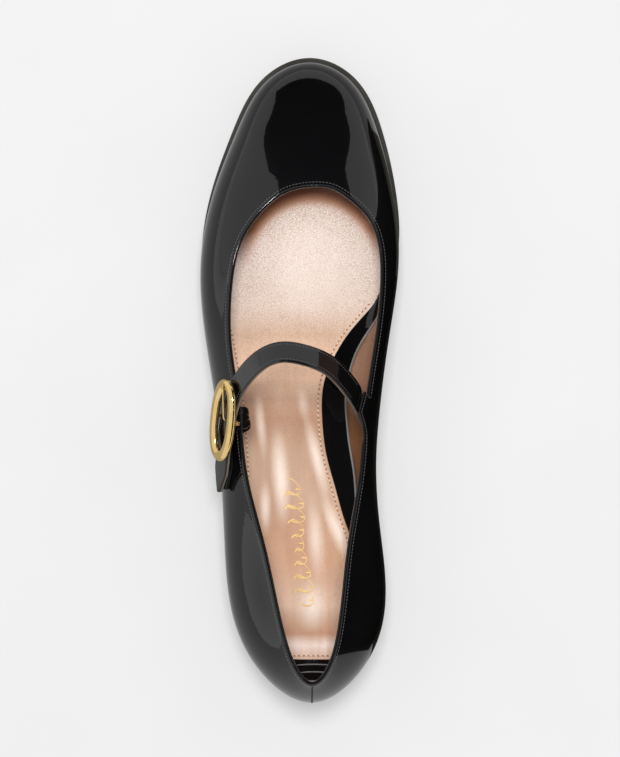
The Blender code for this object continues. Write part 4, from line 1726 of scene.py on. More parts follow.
class UpperGrid(WallGrid):
    """The upper's outer face, with the quarter's tongue on the strap and its soft creases."""

    spacing = 1.5
    wall_rings = 44
    edge_rings = 12
    edge_zone = 1.4
    notch_y = -7.4
    front_y = -8.3
    rear_y = -13.6
    flow_y = -27.0
    fold_depth = 1.75
    crease_foot = 0.12
    crease_head = 0.25

    def __init__(self, last: Last, corners: tuple[Array, Array]) -> None:
        """Lay the grid.

        Args:
            last: the form.
            corners: front and rear corners of the tongue that is sewn on the strap.
        """
        self.corners = corners
        fine = ((1.0, (self.notch_y + self.rear_y) / 2, 5.5, 0.35), (1.0, -116.5, 3.0, 0.5))
        places = last.places(self.spacing, fine)
        wall = last.wall_rings(places, 1.0)
        rise = self.tongue_rise(wall[-1])
        tangent = unit(wall[-1] - wall[-2])
        self.reach = np.linalg.norm(rise, axis=1)
        tongue = [
            wall[-1] * (2 * t**3 - 3 * t**2 + 1)
            + tangent * self.reach[:, None] * (t**3 - 2 * t**2 + t)
            + (wall[-1] + rise) * (3 * t**2 - 2 * t**3)
            + rise * (t**3 - t**2)
            for t in np.linspace(0.0, 1.0, 13)[1:]
        ]
        paths = np.concatenate([wall, np.stack(tongue)])
        stations = [self.ring_places(paths[:, index], len(wall)) for index in range(len(places))]
        super().__init__(last, np.stack(stations, axis=1))
        self.press_creases()

    def fold(self, thickness: float) -> Fold:
        """Return the topline's fold, which runs out where the tongue is sewn on the strap."""
        share = np.clip(1.0 - self.reach / 0.6, 0.0, 1.0)
        return Fold(thickness + (self.fold_depth - thickness) * share)

    def ring_places(self, path: Array, wall_count: int) -> Array:
        """Space one station's rings: evenly up the wall, closer at its edge.

        Args:
            path: the station's points.
            wall_count: how many of them lie on the wall itself.

        Returns:
            The points of its rings.
        """
        knots = chord_knots(path)
        low = knots[wall_count - 1] - self.edge_zone
        wall = np.linspace(0.0, low, self.wall_rings, endpoint=False)
        edge = np.linspace(low, knots[-1], self.edge_rings + 1)
        return resampled(path, np.concatenate([wall, edge]))

    def tongue_rise(self, top: Array) -> Array:
        """Return how far the topline rises where the inner quarter runs up on the strap.

        Args:
            top: the topline's points.

        Returns:
            The rise at each point.
        """
        front, rear = (
            corner - top[nearest(top, y, 1.0)] for corner, y in zip(self.corners, (self.front_y, self.rear_y))
        )
        y = top[:, 1]
        start = np.interp(y, (self.front_y, self.notch_y), (1.0, 0.0))
        across = np.interp(y, (self.rear_y, self.front_y), (1.0, 0.0))
        end = np.interp(y, (self.flow_y, self.rear_y), (0.0, 1.0)) ** 2.2
        share = start * end * (top[:, 0] >= 0.0)
        return share[:, None] * (front + (rear - front) * across[:, None])

    def press_creases(self) -> None:
        """Press the soft creases into the wall, fading out at its edges."""
        share = np.linspace(0.0, 1.0, len(self.points)).reshape(-1, 1)
        fade = np.clip(share / self.crease_foot, 0.0, 1.0)
        fade = fade * np.clip((1.0 - share) / self.crease_head, 0.0, 1.0)
        depth = np.zeros(self.points.shape[:2])
        for crease in CREASES:
            turn = radians(crease.turn)
            away_x = self.points[..., 0] - crease.x
            away_y = self.points[..., 1] - crease.y
            along = (away_x * sin(turn) + away_y * cos(turn)) / crease.length
            across = (away_x * cos(turn) - away_y * sin(turn)) / crease.width
            depth += crease.depth * np.exp(-2.0 * (along**2 + across**2))
        self.points = self.points + self.normals * (depth * fade)[..., None]
        self.normals = self.look(self.points)


@dataclass
class Upper:
    """The patent upper: folded topline, stitches and back seam."""

    last: Last
    grid: UpperGrid
    patent: Material
    thread: Material
    seam: Material
    thickness: float = 1.0
    seam_in: float = 1.0
    pitch: float = 1.3
    back_half: float = 0.34
    back_rise: float = 0.12

    def build(self) -> list[Object]:
        """Make the upper's pieces.

        Returns:
            The pieces.
        """
        rings = self.grid.shell(0.0, self.thickness, self.grid.fold(self.thickness))
        shell = self.last.loft("upper", rings)
        line, looks = self.grid.below_edge(self.seam_in, 0.02)
        frames = Frames.on_line(self.last, line, looks, self.pitch, closed=True)
        stitches = stitch_row("topline_stitches", frames, 0.95, 0.24)
        seam = self.back_seam()
        finish_piece(shell, self.patent, Slot.UPPER, ["upper"])
        finish_piece(stitches, self.thread)
        finish_piece(seam, self.seam, Slot.UPPER)
        return [shell, stitches, seam]

    def back_seam(self) -> Object:
        """Make the closed seam that runs down the middle of the heel.

        Returns:
            The seam as a closed piece.
        """
        station = int(np.argmin(self.grid.points[-1][:, 1]))
        path = self.grid.points[:, station]
        looks = self.grid.normals[:, station]
        side = unit(np.cross(looks, np.gradient(path, axis=0)))
        rings = oval_rings(path[2:-2], side[2:-2], looks[2:-2], self.back_half, self.back_rise, 8)
        return self.last.loft("back_seam", rings, capped=True)


@dataclass
class Lining:
    """The leather that lines the wall, from under the footbed to just below the topline."""

    last: Last
    leather: Material
    below_rim: float = 1.75

    def build(self) -> list[Object]:
        """Make the lining.

        Returns:
            The one piece.
        """
        wall = self.last.wall_rings(self.last.places(2.4, ()), 1.0)
        stations = []
        for path in np.swapaxes(wall, 0, 1):
            length = chord_knots(path)[-1] - self.below_rim
            stations.append(resampled(path, np.linspace(0.0, length, 34)))
        grid = WallGrid(self.last, np.stack(stations, axis=1))
        made = self.last.loft("lining", grid.shell(1.06, self.last.wall))
        finish_piece(made, self.leather)
        return [made]


# ---- flat pieces under the foot


@dataclass
class Plate:
    """A flat piece given by its two edges, with rounded rims, laid on a ground."""

    y: Array
    outer: Array
    inner: Array
    levels: int = 110
    heel_run: float = 10.0
    toe_run: float = 16.0

    @classmethod
    def inside_line(cls, last: Last, column: str, distance: float) -> "Plate":
        """Return the plate that lies inside one of the shoe's plan lines by a distance.

        Args:
            last: the form.
            column: the table's column that names the line.
            distance: millimetres further inside.

        Returns:
            The plate.
        """
        edge = last.plan_edge(column, distance)
        share = (1.0 - np.cos(np.linspace(0.0, pi, 240))) / 2
        y = edge[:, 1].min() + (edge[:, 1].max() - edge[:, 1].min()) * share
        outer, inner = last.sides(column, distance, y)
        return cls(y, outer, inner)

    @classmethod
    def between(cls, rows: Sequence[EdgeRow], levels: int) -> "Plate":
        """Return the plate between two edges given at distances along the shoe.

        Args:
            rows: the edges, from the heel to the toe.
            levels: how finely the edge is stepped.

        Returns:
            The plate.
        """
        edges = np.array(rows)
        y = np.linspace(edges[0, 0], edges[-1, 0], 400)
        fine = spline_points(edges[:, 0], edges[:, 1:], y)
        return cls(y, fine[:, 0], fine[:, 1], levels)

    def loop(self) -> Array:
        """Return the edge from the toe by the outer side, in pairs level across the plate.

        Returns:
            The points of the edge.
        """
        share = (1.0 + np.cos(np.linspace(0.0, pi, self.levels + 1))) / 2
        y = self.y[0] + (self.y[-1] - self.y[0]) * share
        outer, inner = (np.column_stack([np.interp(y, self.y, x), y]) for x in (self.outer, self.inner))
        middle = (outer + inner) / 2
        return np.vstack([middle[:1], outer[1:-1], middle[-1:], inner[-2:0:-1]])

    def spine(self, loop: Array) -> Array:
        """Return the middle line's point that each point of the edge runs in to.

        Args:
            loop: the edge's points.

        Returns:
            A plan point for each of them.
        """
        y = np.clip(loop[:, 1], self.y[0] + self.heel_run, self.y[-1] - self.toe_run)
        middle = (np.interp(y, self.y, self.outer) + np.interp(y, self.y, self.inner)) / 2
        return np.column_stack([middle, y])

    def rings(
        self, ground: Ground, thickness: float, low_round: float, high_round: float, crown: Ground | None
    ) -> list[Array]:
        """Round the plate's rims and lay it on its ground.

        Args:
            ground: height of the underside at plan points x, y.
            thickness: of the plate.
            low_round: radius of the lower rim.
            high_round: radius of the upper rim.
            crown: extra height of the top at plan points, or None.

        Returns:
            Rings from the middle of its underside to the middle of its top.
        """
        loop = self.loop()
        inward, spine = inward_of(loop), self.spine(loop)
        start = loop + inward * low_round
        plans = [(start + (spine - start) * share, 0.0) for share in (1.0, 0.75, 0.45, 0.15)]
        for turn in np.linspace(0.0, pi / 2, 5):
            plans.append((loop + inward * low_round * (1 - sin(turn)), low_round * (1 - cos(turn))))
        for turn in np.linspace(0.0, pi / 2, 7):
            height = thickness - high_round * (1 - sin(turn))
            plans.append((loop + inward * high_round * (1 - cos(turn)), height))
        start = loop + inward * high_round
        for share in (0.02, 0.05, 0.08, 0.12, 0.17, 0.23, 0.30, 0.40, 0.52, 0.64, 0.76, 0.88, 1.0):
            plans.append((start + (spine - start) * share, thickness))
        rings = []
        for plan, height in plans:
            z = ground(plan[:, 0], plan[:, 1]) + height
            if crown is not None:
                z = z + crown(plan[:, 0], plan[:, 1]) * height / thickness
            rings.append(np.column_stack([plan, z]))
        return rings


def edge_rows(*rows: Triple) -> tuple[EdgeRow, ...]:
    """Return the table of a flat piece's edges."""
    return tuple(EdgeRow(*row) for row in rows)


# The patent cover of the footbed: its inner edge curls up the wall between ball and heel.
COVER_EDGES = edge_rows(
    (-117.5, -5.0, 7.0), (-114.5, -11.0, 12.5), (-109.0, -15.5, 15.6), (-100.0, -19.5, 17.9),
    (-90.0, -21.8, 18.9), (-75.0, -24.3, 18.6), (-60.0, -25.6, 17.6), (-46.0, -26.3, 17.1),
    (-35.0, -26.9, 16.2), (-25.0, -27.5, 14.5), (-16.7, -28.0, 13.6), (-8.0, -28.7, 13.1),
    (3.5, -30.8, 14.9), (11.6, -32.6, 17.8), (18.6, -34.0, 22.0), (24.0, -35.0, 25.4),
    (30.0, -35.9, 27.2), (50.0, -37.0, 27.4), (75.0, -34.0, 26.6), (96.0, -25.2, 21.4),
    (108.0, -16.0, 14.0),
)
SOCK_EDGES = edge_rows(
    (-109.0, -12.5, 12.8), (-100.0, -17.0, 14.3), (-90.0, -20.5, 15.4), (-75.0, -23.5, 16.0),
    (-60.0, -25.0, 14.6), (-55.5, -25.3, 13.0), (-42.0, -25.8, 9.1), (-30.0, -26.4, 5.8),
    (-18.0, -27.3, 4.2), (-8.5, -28.3, 3.9), (-0.4, -29.5, 5.0), (8.8, -31.0, 8.8),
    (17.5, -32.7, 14.2), (24.0, -34.0, 19.7), (31.0, -35.0, 25.3), (36.0, -35.6, 26.8),
    (50.0, -36.5, 27.0), (75.0, -33.5, 26.2), (96.0, -24.5, 21.0), (106.0, -17.0, 15.0),
)


# The sock leather's colour along the shoe, partly its own nude and partly painted light and shade (lighter at
# the ball, darker through the waist, lighter under the strap, a light band between darker ones at the heel),
# and the painted highlights and shades where it bends.
SOCK_TONES_AND_SHADING = (
    (-108.0, (0.62, 0.44, 0.35)),
    (-103.5, (0.74, 0.62, 0.56)),
    (-99.0, (0.44, 0.25, 0.16)),
    (-88.0, (0.59, 0.42, 0.32)),
    (-72.0, (0.52, 0.32, 0.215)),
    (-57.0, (0.46, 0.285, 0.19)),
    (-45.0, (0.47, 0.32, 0.235)),
    (-30.0, (0.45, 0.31, 0.225)),
    (-16.0, (0.375, 0.23, 0.155)),
    (-8.0, (0.44, 0.29, 0.21)),
    (0.0, (0.84, 0.59, 0.43)),
    (17.0, (0.57, 0.43, 0.33)),
    (28.0, (0.66, 0.58, 0.52)),
    (45.0, (0.69, 0.64, 0.61)),
    (75.0, (0.74, 0.69, 0.65)),
)
SOCK_HIGHLIGHTS_AND_SHADES: tuple[Spot, ...] = (
    Spot(-19.8, -18.0, 5.5, 32.0, 6.0, 0.50),
    Spot(-12.0, -38.0, 9.0, 46.0, 4.0, 0.75),
    Spot(2.0, -31.0, 7.0, 40.0, 14.0, 0.70),
    Spot(-3.5, -9.0, 6.0, 20.0, 8.0, 0.35),
    Spot(-16.5, -14.0, 6.0, 20.0, 5.0, -0.40),
    Spot(-8.0, -12.0, 5.0, 28.0, 2.0, -0.45),
    Spot(3.0, -14.0, 5.0, 20.0, 8.0, -0.35),
    Spot(-18.0, -50.0, 6.0, 26.0, 0.0, 0.60),
    Spot(1.5, -62.0, 9.0, 40.0, 4.0, 0.60),
    Spot(9.5, -58.0, 8.0, 34.0, 22.0, 0.75),
    Spot(9.5, -78.0, 8.0, 24.0, 0.0, -0.60),
    Spot(-12.5, -74.0, 6.0, 34.0, 12.0, -0.30),
    Spot(0.0, -88.0, 15.0, 26.0, 0.0, 0.70),
    Spot(-7.5, -97.0, 9.0, 9.0, 0.0, -0.45),
    Spot(9.5, -96.0, 6.0, 12.0, 0.0, -0.35),
    Spot(-2.0, 48.0, 44.0, 40.0, 0.0, 0.25),
)
# Inside this round the sock is lit; outside it the shade under the throat begins.
THROAT = Spot(0.3, 43.5, 89.0, 92.0, 0.0, 0.95)


@dataclass
class Footbed:
    """The footbed board, its patent cover, the leather sock stitched on it and the foil sprig."""

    last: Last
    wall: InnerFace
    patent: Material
    leather: Material
    thread: Material
    foil: Material
    bead: Material
    # The needle holes' dark finish is painted shade in the holes.
    hole: Material
    clearance: float = 3.4
    thickness: float = 2.2
    cover_thickness: float = 0.4
    sock_thickness: float = 0.55
    rest: float = 0.25
    stitch_in: float = 1.45
    stitch_pitch: float = 1.85
    sewn_to_y: float = 31.0
    stem_start: tuple[float, float] = (-1.6, -88.0)
    stem_end: tuple[float, float] = (-7.2, -39.5)
    loops: int = 9

    def sole(self, x: Array, y: Array) -> Array:
        """Return the height of the board's underside."""
        return self.last.sole_top(y) + self.last.gap * 2 + self.last.wall

    @staticmethod
    def crown(x: Array, y: Array) -> Array:
        """Return the board's own relief: a dished seat and soft runs along the waist.

        Args:
            x: places across.
            y: places along the shoe.

        Returns:
            A height for each place.
        """
        waist = np.exp(-(((y + 25.0) / 42.0) ** 2))
        runs = 0.16 * np.sin(x / 2.6 + y / 38.0) * waist
        seat = np.exp(-(((y + 88.0) / 26.0) ** 2))
        dish = 0.9 * ((x + 0.5) / 20.0) ** 2 * seat
        rear = 0.5 * np.exp(-(((y + 103.0) / 5.0) ** 2)) - 0.45 * np.exp(-(((y + 95.5) / 4.0) ** 2))
        ball = 0.35 * np.exp(-(((y - 12.0) / 9.0) ** 2)) * np.exp(-(((x + 6.0) / 16.0) ** 2))
        return runs + dish + rear + ball

    def bed(self, x: Array, y: Array) -> Array:
        """Return the height on which the cover lies: the board, or the wall where it curls up."""
        wall = np.array([self.wall.height(*point) for point in zip(x, y)])
        return np.maximum(self.sole(x, y) + self.thickness + self.crown(x, y) + 0.03, wall + self.rest)

    def cover(self, x: Array, y: Array) -> Array:
        """Return the height on which the sock lies."""
        return self.bed(x, y) + self.cover_thickness + 0.02

    def build(self) -> list[Object]:
        """Make the footbed's pieces.

        Returns:
            The pieces.
        """
        board = Plate.inside_line(self.last, "feather_in", self.clearance)
        sheet = Plate.between(COVER_EDGES, 150)
        sock = Plate.between(SOCK_EDGES, 150)
        loft = self.last.loft
        plates = [
            loft("footbed", board.rings(self.sole, self.thickness, 0.3, 0.6, self.crown)),
            loft("footbed_cover", sheet.rings(self.bed, self.cover_thickness, 0.15, 0.2, None)),
            loft("sock", sock.rings(self.cover, self.sock_thickness, 0.05, 0.22, None)),
        ]
        beads = self.piping(sheet)
        finish_piece(plates[0], self.patent, Slot.FOOTBED, ["insole"])
        finish_piece(plates[1], self.patent, Slot.FOOTBED)
        finish_piece(plates[2], self.leather)
        # The bead and pleats wear the bead's finish, whose grey is a painted highlight line.
        for bead in beads:
            finish_piece(bead, self.bead, Slot.FOOTBED)
        sewn = [*self.stitches(sock), *self.sprig()]
        for piece, look in zip(sewn, (self.thread, self.hole, self.foil, self.foil)):
            finish_piece(piece, look)
        return [*plates, *beads, *sewn]

    def piping(self, sheet: Plate) -> list[Object]:
        """Roll the cover's inner and rear edge to a bead, and pleat the cover behind the sock.

        Args:
            sheet: the cover.

        Returns:
            The bead and two pleats.
        """
        loop = sheet.loop()
        inner = loop[(loop[:, 1] < 27.0) & ((loop[:, 0] > 0.0) | (loop[:, 1] < -100.0))]
        share = np.linspace(-1.0, 1.0, 15)
        beads = [self.roll("footbed_piping", inner, 170, 0.45)]
        for side, half, y in (("front", 8.5, -110.9), ("rear", 6.5, -113.8)):
            pleat = np.column_stack([0.9 + half * share, y - 0.5 * share**2])
            beads.append(self.roll(f"footbed_pleat_{side}", pleat, 24, 0.30))
        return beads

    def roll(self, name: str, plan: Array, steps: int, full: float) -> Object:
        """Roll a bead with fine ends along a plan line on the cover.

        Args:
            name: the bead's name.
            plan: points in plan.
            steps: sections along the bead.
            full: the bead's radius.

        Returns:
            The bead as a closed piece.
        """
        z = self.bed(plan[:, 0], plan[:, 1]) + self.cover_thickness / 2 + 0.1
        path = np.column_stack([plan, z])
        path = eased(resampled(path, np.linspace(0.0, chord_knots(path)[-1], steps)), 2)
        tangent = unit(np.gradient(path, axis=0))
        side = unit(np.cross(tangent, (0.0, 0.0, 1.0)))
        from_end = np.minimum(np.arange(steps), np.arange(steps)[::-1])
        radii = full * np.minimum(1.0, 0.3 + from_end / 8)
        rings = oval_rings(path, side, np.cross(side, tangent), radii, radii, 10)
        return self.last.loft(name, rings, capped=True)

    def on_sock(self, plan: Array, lift: float) -> Array:
        """Return plan points raised to just over the sock."""
        z = self.cover(plan[:, 0], plan[:, 1]) + self.sock_thickness + lift
        return np.column_stack([plan, z])

    def stitches(self, sock: Plate) -> list[Object]:
        """Sew the sock's edge from the inner ball round the rear to the outer waist.

        Args:
            sock: the sock.

        Returns:
            The stitches, and between them dark discs of painted shade for the needle holes.
        """
        loop = sock.loop()
        line = loop + inward_of(loop) * self.stitch_in
        line = line[line[:, 1] < self.sewn_to_y]
        looks = np.tile((0.0, 0.0, 1.0), (len(line), 1))
        line = self.on_sock(line, 0.03)
        sewn = Frames.on_line(self.last, line, looks, self.stitch_pitch)
        # Dark flat discs between the stitches: painted shade in the needle holes.
        pierced = Frames.on_line(self.last, line, looks, self.stitch_pitch, start=0.0)
        return [
            stitch_row("sock_stitches", sewn, 1.35, 0.58, slant=28.0),
            stitch_row("sock_stitch_hole_shades", pierced, 0.8, 0.72, flat=0.2),
        ]

    def vine(self, share: Array) -> Array:
        """Return plan points of the sprig's looping stem at shares of its run.

        Args:
            share: shares from 0 to 1.

        Returns:
            A plan point for each share.
        """
        start, end = np.array(self.stem_start), np.array(self.stem_end)
        run = unit(end - start)
        across = np.array((-run[1], run[0]))
        turn = 2 * pi * self.loops * share
        swing = (2.2 + 0.9 * np.sin(3.1 * pi * share)) * np.cos(turn)
        back = 0.45 * swing - 1.5 * np.sin(turn)
        return start + (end - start) * share[:, None] + across * swing[:, None] + run * back[:, None]

    def sprig(self) -> list[Object]:
        """Lay the gold-foil sprig: a looping stem of changing breadth, and one leaf copied beside it.

        Returns:
            The stem and the leaves.
        """
        share = np.linspace(0.0, 1.0, 560)
        turn = 2 * pi * self.loops * share
        plan = self.vine(share)
        side = inward_of(plan)
        side[[0, -1]] = side[[1, -2]]
        half = (0.22 + 0.12 * np.sin(turn + 0.8))[:, None]
        low = self.on_sock(plan, 0.03)
        low[:, 2] += 0.04 * (1.0 + np.sin(turn))
        rings = []
        for across, lift in ((-1.0, 0.0), (-0.8, 0.04), (0.8, 0.04), (1.0, 0.0)):
            line = low.copy()
            line[:, :2] += side * half * across
            line[:, 2] += lift
            rings.append(line)
        stem = self.last.loft("foil_stem", np.stack(rings, axis=1), capped=True)
        grid = bpy.ops.mesh.primitive_grid_add
        leaf = Bench.primitive("leaf_pattern", grid, x_subdivisions=8, y_subdivisions=4, size=1.0)
        for vertex in leaf.data.vertices:
            x, y, _ = vertex.co
            reach = x + 0.5
            width = 0.36 * sin(pi * reach) ** 0.8 * (1.25 - 0.5 * reach)
            vertex.co = Vector((reach * 2.1, y * 2 * width + 0.4 * reach**2, 0.0)) * MM
        count = 2 * self.loops - 1
        bends = (np.arange(count) + 1.0) / (count + 1.0)
        spots = self.vine(bends)
        ahead = unit(self.vine(bends + 0.002) - spots)
        sign = np.where(np.arange(count) % 2 == 0, 1.0, -1.0)[:, None]
        along = unit(ahead * 0.5 + np.column_stack([-ahead[:, 1], ahead[:, 0]]) * sign)
        along = np.column_stack([along, np.zeros(count)])
        out = np.tile((0.0, 0.0, 1.0), (count, 1))
        places = self.last.placed(self.on_sock(spots, 0.16))
        leaves = Bench.stamped("foil_leaves", leaf, Frames(places, along, np.cross(out, along), out))
        Bench.take(leaves)
        sheet = leaves.modifiers.new("sheet", "SOLIDIFY")
        sheet.thickness = 0.05 * MM
        sheet.offset = 1.0
        bpy.ops.object.modifier_apply(modifier=sheet.name)
        return [stem, leaves]


# ---- sole and heel


@dataclass
class Sole:
    """The outsole with its rounded edge, the low heel block and its top piece."""

    last: Last
    sole_rubber: Material
    heel_rubber: Material
    breast_y: float = -66.0
    breast_hollow: float = 4.0
    top_piece: float = 3.4
    rim: float = 0.45

    def build(self) -> list[Object]:
        """Make the pieces that the shoe stands on.

        Returns:
            The pieces.
        """
        plate = Plate.inside_line(self.last, "sole_in", 0.0)
        rings = plate.rings(self.underside, self.last.sole_thickness, 0.7, 0.6, None)
        sole = self.last.loft("outsole", rings)
        finish_piece(sole, self.sole_rubber, Slot.SOLE, ["outsole"])
        seat = self.last.seat_height - self.last.gap
        block = self.block("heel_block", self.top_piece + 0.12, seat, 0.8)
        piece = self.block("heel_top_piece", 0.0, self.top_piece, 0.7)
        finish_piece(block, self.heel_rubber, Slot.HEEL, ["heel"])
        finish_piece(piece, self.heel_rubber, Slot.HEEL)
        return [sole, block, piece]

    def underside(self, x: Array, y: Array) -> Array:
        """Return the height of the sole's underside."""
        return self.last.sole_bottom(y)

    def block(self, name: str, low: float, high: float, inset: float) -> Object:
        """Make one layer of the heel with rounded rims and a hollowed breast.

        Args:
            name: the layer's name.
            low: height of its underside.
            high: height of its top.
            inset: distance inside the sole's edge.

        Returns:
            The layer as a closed piece.
        """
        edge = self.last.plan_edge("sole_in", inset)
        rear = edge[edge[:, 1] < self.breast_y]
        steps = np.linspace(0.0, 1.0, 40)[1:-1].reshape(-1, 1)
        breast = rear[-1] + (rear[0] - rear[-1]) * steps
        breast[:, 1] -= self.breast_hollow * np.sin(pi * steps[:, 0])
        loop = np.vstack([rear[:-2:4], rear[-1:], breast])
        inward = inward_of(loop)
        turns = np.linspace(0.0, pi / 2, 5)
        near = self.rim * (1 - np.sin(turns))
        far = self.rim * (1 - np.cos(turns))
        rings = [
            np.column_stack([loop + inward * inset_by, np.full(len(loop), z)])
            for inset_by, z in (*zip(near, low + far), *zip(far, high - near))
        ]
        under, above = (np.array((*loop.mean(axis=0), height)) for height in (low, high))
        foot = [under + (rings[0] - under) * share for share in (0.0, 0.5)]
        head = [above + (rings[-1] - above) * share for share in (0.5, 0.0)]
        return self.last.loft(name, foot + rings + head)


# ---- studio


class Card(NamedTuple):
    """A card in the studio that only the gloss sees: pairs of points along its two edges."""

    name: str
    level: Triple
    pairs: tuple[tuple[Triple, Triple], ...]


def level_card(name: str, level: float, x: tuple[float, float], y: tuple[float, float], z: float) -> Card:
    """Return a level rectangular card."""
    return Card(name, (level,) * 3, tuple(((x[0], end, z), (x[1], end, z)) for end in y))


def hood_card() -> Card:
    """Return the dark card that leans over the toe, seen by the middle of the vamp.

    Returns:
        The card.
    """
    rows = (
        (0.0, -41.0, 30.0), (4.0, -42.0, 39.0), (13.0, -41.0, 43.0), (20.0, -47.0, 44.0),
        (28.0, -60.0, 54.0), (36.0, -66.0, 61.0), (46.0, -67.0, 59.0), (57.0, -60.0, 53.0),
        (62.0, -50.0, 59.0), (66.0, -43.0, 62.0), (82.0, -38.0, 63.0),
    )
    leaning = [(outer, inner, 150.0 - 0.731 * rise, 34.0 + 0.682 * rise) for rise, outer, inner in rows]
    pairs = tuple(((outer, y, z), (inner, y, z)) for outer, inner, y, z in leaning)
    return Card("hood_card", (0.004, 0.004, 0.0045), pairs)


def inner_card() -> Card:
    """Return the dark upright card that stands close to the shoe's inner side.

    Returns:
        The card.
    """
    rows = (
        (-117.0, 40.0), (-100.0, 56.0), (50.0, 56.0), (62.0, 42.0), (71.0, 31.0),
        (80.0, 26.0), (88.0, 22.0), (98.0, 19.0), (106.0, 14.0), (113.0, 6.0),
    )
    pairs = tuple(((47.0, y, 0.0), (47.0, y, top)) for y, top in rows)
    return Card("inner_card", (0.002, 0.002, 0.002), pairs)


@dataclass
class Studio:
    """Pale floor, soft light, cards for the gloss to mirror, and the camera."""

    last: Last
    eye: Triple = (0.040, 0.0, 1.70)
    aim: Triple = (0.004, 0.0, 0.015)
    view_height: float = 0.29387
    cards: tuple[Card, ...] = (
        hood_card(),
        inner_card(),
        Card(
            "inner_floor_card",
            (0.020, 0.018, 0.012),
            (((24.0, -112.0, 0.8), (48.0, -112.0, 0.8)), ((33.0, 40.0, 0.8), (48.0, 40.0, 0.8))),
        ),
        Card(
            "toe_floor_card",
            (0.075, 0.070, 0.055),
            (
                ((33.0, 40.0, 0.8), (48.0, 40.0, 0.8)),
                ((33.0, 75.0, 0.8), (56.0, 75.0, 0.8)),
                ((31.0, 97.0, 0.8), (56.0, 112.0, 0.8)),
            ),
        ),
        Card(
            "neighbour_card",
            (0.26, 0.17, 0.14),
            (((50.0, -40.0, 52.0), (50.0, -40.0, 82.0)), ((50.0, 50.0, 52.0), (50.0, 50.0, 82.0))),
        ),
        level_card("floor_mat", 0.45, (-170.0, 170.0), (-240.0, 260.0), 0.3),
        level_card("collar_card", 0.003, (-45.0, 45.0), (-130.0, 58.0), 112.0),
        level_card("outer_glint", 70.0, (-600.0, -440.0), (-80.0, 80.0), 1700.0),
        level_card("rear_glint", 40.0, (-40.0, 120.0), (-430.0, -270.0), 1700.0),
    )

    def build(self) -> None:
        """Set up everything round the shoe."""
        self.floor()
        self.world()
        for card in self.cards:
            self.card(card)
        self.lamp("soft_overhead", (0.04, 0.27, 1.7), (0.45, 0.45), 35.0)
        self.camera()

    @staticmethod
    def floor() -> None:
        """Lay the pale floor."""
        made = Bench.primitive("floor", bpy.ops.mesh.primitive_plane_add, size=8.0)
        nodes = Palette("studio_floor")
        nodes.set(roughness=0.9, specular_ior_level=0.0)
        nodes.set(emission_color=(1.0, 1.0, 1.0, 1.0), emission_strength=0.355)
        greys = ((0.3, (0.275,) * 3), (0.7, (0.285,) * 3))
        nodes.feed(nodes.ramp(nodes.noise(60.0), greys), "Base Color")
        made.data.materials.append(nodes.material)

    @staticmethod
    def world() -> None:
        """Light the room evenly."""
        world = bpy.data.worlds.new("studio")
        bpy.context.scene.world = world
        world.use_nodes = True
        surface = world.node_tree.nodes["Background"]
        surface.inputs["Color"].default_value = (1.0, 1.0, 1.0, 1.0)
        surface.inputs["Strength"].default_value = 0.80
        bpy.context.scene.view_settings.view_transform = "Standard"

    @staticmethod
    def lamp(name: str, place: Triple, size: tuple[float, float], watts: float) -> None:
        """Hang a soft lamp that looks at the shoe.

        Args:
            name: the lamp's name.
            place: in metres.
            size: of its face, in metres.
            watts: its power.
        """
        light = bpy.data.lights.new(name, "AREA")
        light.shape = "RECTANGLE"
        light.size, light.size_y = size
        light.energy = watts
        made = bpy.data.objects.new(name, light)
        made.location = place
        made.rotation_euler = (-Vector(place)).to_track_quat("-Z", "Y").to_euler()
        made.visible_camera = False
        made.visible_glossy = False
        bpy.context.scene.collection.objects.link(made)

    def card(self, card: Card) -> None:
        """Stand a card where only the gloss sees it.

        Args:
            card: the card.
        """
        count = len(card.pairs) - 1
        grid = bpy.ops.mesh.primitive_grid_add
        made = Bench.primitive(card.name, grid, x_subdivisions=1, y_subdivisions=count, size=2.0)
        points = self.last.placed(np.array(card.pairs))
        for vertex in made.data.vertices:
            row = int(round((vertex.co.y + 1.0) / 2.0 * count))
            vertex.co = points[row, 0 if vertex.co.x < 0.0 else 1]
        material = bpy.data.materials.new(card.name)
        material.use_nodes = True
        tree = material.node_tree
        tree.nodes.clear()
        glow = tree.nodes.new("ShaderNodeEmission")
        glow.inputs["Color"].default_value = (*card.level, 1.0)
        output = tree.nodes.new("ShaderNodeOutputMaterial")
        tree.links.new(glow.outputs["Emission"], output.inputs["Surface"])
        made.data.materials.append(material)
        for ray in ("camera", "diffuse", "shadow", "transmission"):
            setattr(made, f"visible_{ray}", False)

    def camera(self) -> None:
        """Look straight down on the shoe, from a little to its inner side."""
        data = bpy.data.cameras.new("camera")
        made = bpy.data.objects.new("camera", data)
        bpy.context.scene.collection.objects.link(made)
        bpy.context.scene.camera = made
        made.location = self.eye
        away = Vector(self.eye) - Vector(self.aim)
        made.rotation_mode = "XYZ"
        made.rotation_euler = (0.0, np.arctan2(away.x, away.z), 0.0)
        data.lens = data.sensor_width * away.z / self.view_height
        data.clip_start = 0.01
        data.dof.use_dof = False


# ---- assembly


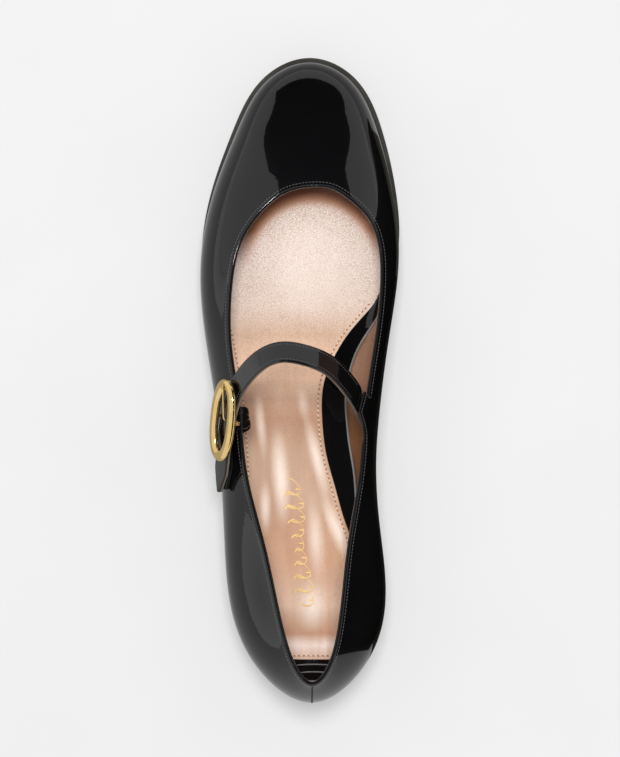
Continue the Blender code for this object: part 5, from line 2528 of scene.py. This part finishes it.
def main() -> None:
    """Build the shoe's sub-assemblies in order, then the studio."""
    logging.basicConfig(level=logging.INFO, format="%(message)s")
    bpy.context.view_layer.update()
    last = Last()
    finder = WallFinder(last)
    table = StrapTable(finder)
    patent = Patent("black_patent", gloss=1.47, ripple=0.02).material()
    strap_patent = Patent("black_patent_strap", gloss=1.56, wave=0.03, wave_size=14.0).material()
    tab_patent = Patent("black_patent_tab", gloss=1.35, wave=0.03, wave_size=14.0).material()
    bed_patent = Patent("black_patent_footbed", wave=0.04, wave_size=18.0).material()
    # The bead's grey hide is a painted highlight: the bright line that the rolled edge of black patent
    # catches.
    highlight_bead_patent = Patent("black_patent_bead_painted_highlight", (0.10, 0.10, 0.10), 3.2, wave=0.0, ripple=0.02).material()
    nude = (0.29, 0.165, 0.11)
    shaded_nude = (0.18, 0.085, 0.04)
    lining_tones = ((-120.0, shaded_nude), (-20.0, shaded_nude), (0.0, nude), (80.0, nude))
    lining_leather = Kid("nude_lining", lining_tones, 0.1, 0.05, grain=0.03).material()
    grain = {"grain": 0.15, "grain_size": 0.62, "grain_shade": 0.75, "grain_run": (-40.0, 66.0)}
    sock_leather = Kid("pearl_sock", SOCK_TONES_AND_SHADING, 0.45, **grain, spots=SOCK_HIGHLIGHTS_AND_SHADES, throat=THROAT).material()
    # The black thread is dark grey, a painted highlight, so that the stitches read as light dashes.
    black_thread = Thread("black_thread", (0.10, 0.10, 0.104), 0.42).material()
    strap_thread = Thread("strap_thread", (0.065, 0.065, 0.068), 0.5).material()
    tan_thread = Thread("tan_thread", (0.74, 0.54, 0.42)).material()
    # Needle holes: dark flat discs, painted shade where the thread pierces the sock.
    hole = Rubber("needle_hole_shade", (0.27, 0.15, 0.09), (0.21, 0.11, 0.065), 0.7).material()
    seam = Rubber("seam_black", (0.006, 0.006, 0.006), (0.003, 0.003, 0.003), 0.6).material()
    cut_edge = Rubber("cut_edge", (0.14, 0.105, 0.080), (0.080, 0.062, 0.050), 0.5).material()
    gold = Gold("polished_gold").material()
    foil = Gold("gold_foil", (0.80, 0.56, 0.24), (0.66, 0.43, 0.16), 0.3, 0.3).material()
    sole_tones = ((0.038, 0.035, 0.030), (0.024, 0.022, 0.019))
    sole_rubber = Rubber("sole_edge", *sole_tones, 0.45, sheen=0.15).material()
    heel_rubber = Rubber("heel_black", (0.022, 0.021, 0.021), (0.014, 0.014, 0.014), 0.4).material()

    grid = UpperGrid(last, table.root_corners())
    assemblies = (
        Sole(last, sole_rubber, heel_rubber),
        Footbed(last, InnerFace(last), bed_patent, sock_leather, tan_thread, foil, highlight_bead_patent, hole),
        Lining(last, lining_leather),
        Upper(last, grid, patent, black_thread, seam),
        Tab(last, table, tab_patent, seam),
        Strap(last, table, strap_patent, cut_edge, strap_thread),
        Buckle(last, table, gold),
    )
    for assembly in assemblies:
        made = assembly.build()
        LOG.info("%s: %d pieces", type(assembly).__name__, len(made))
    Studio(last).build()


if __name__ == "__main__":
    main()
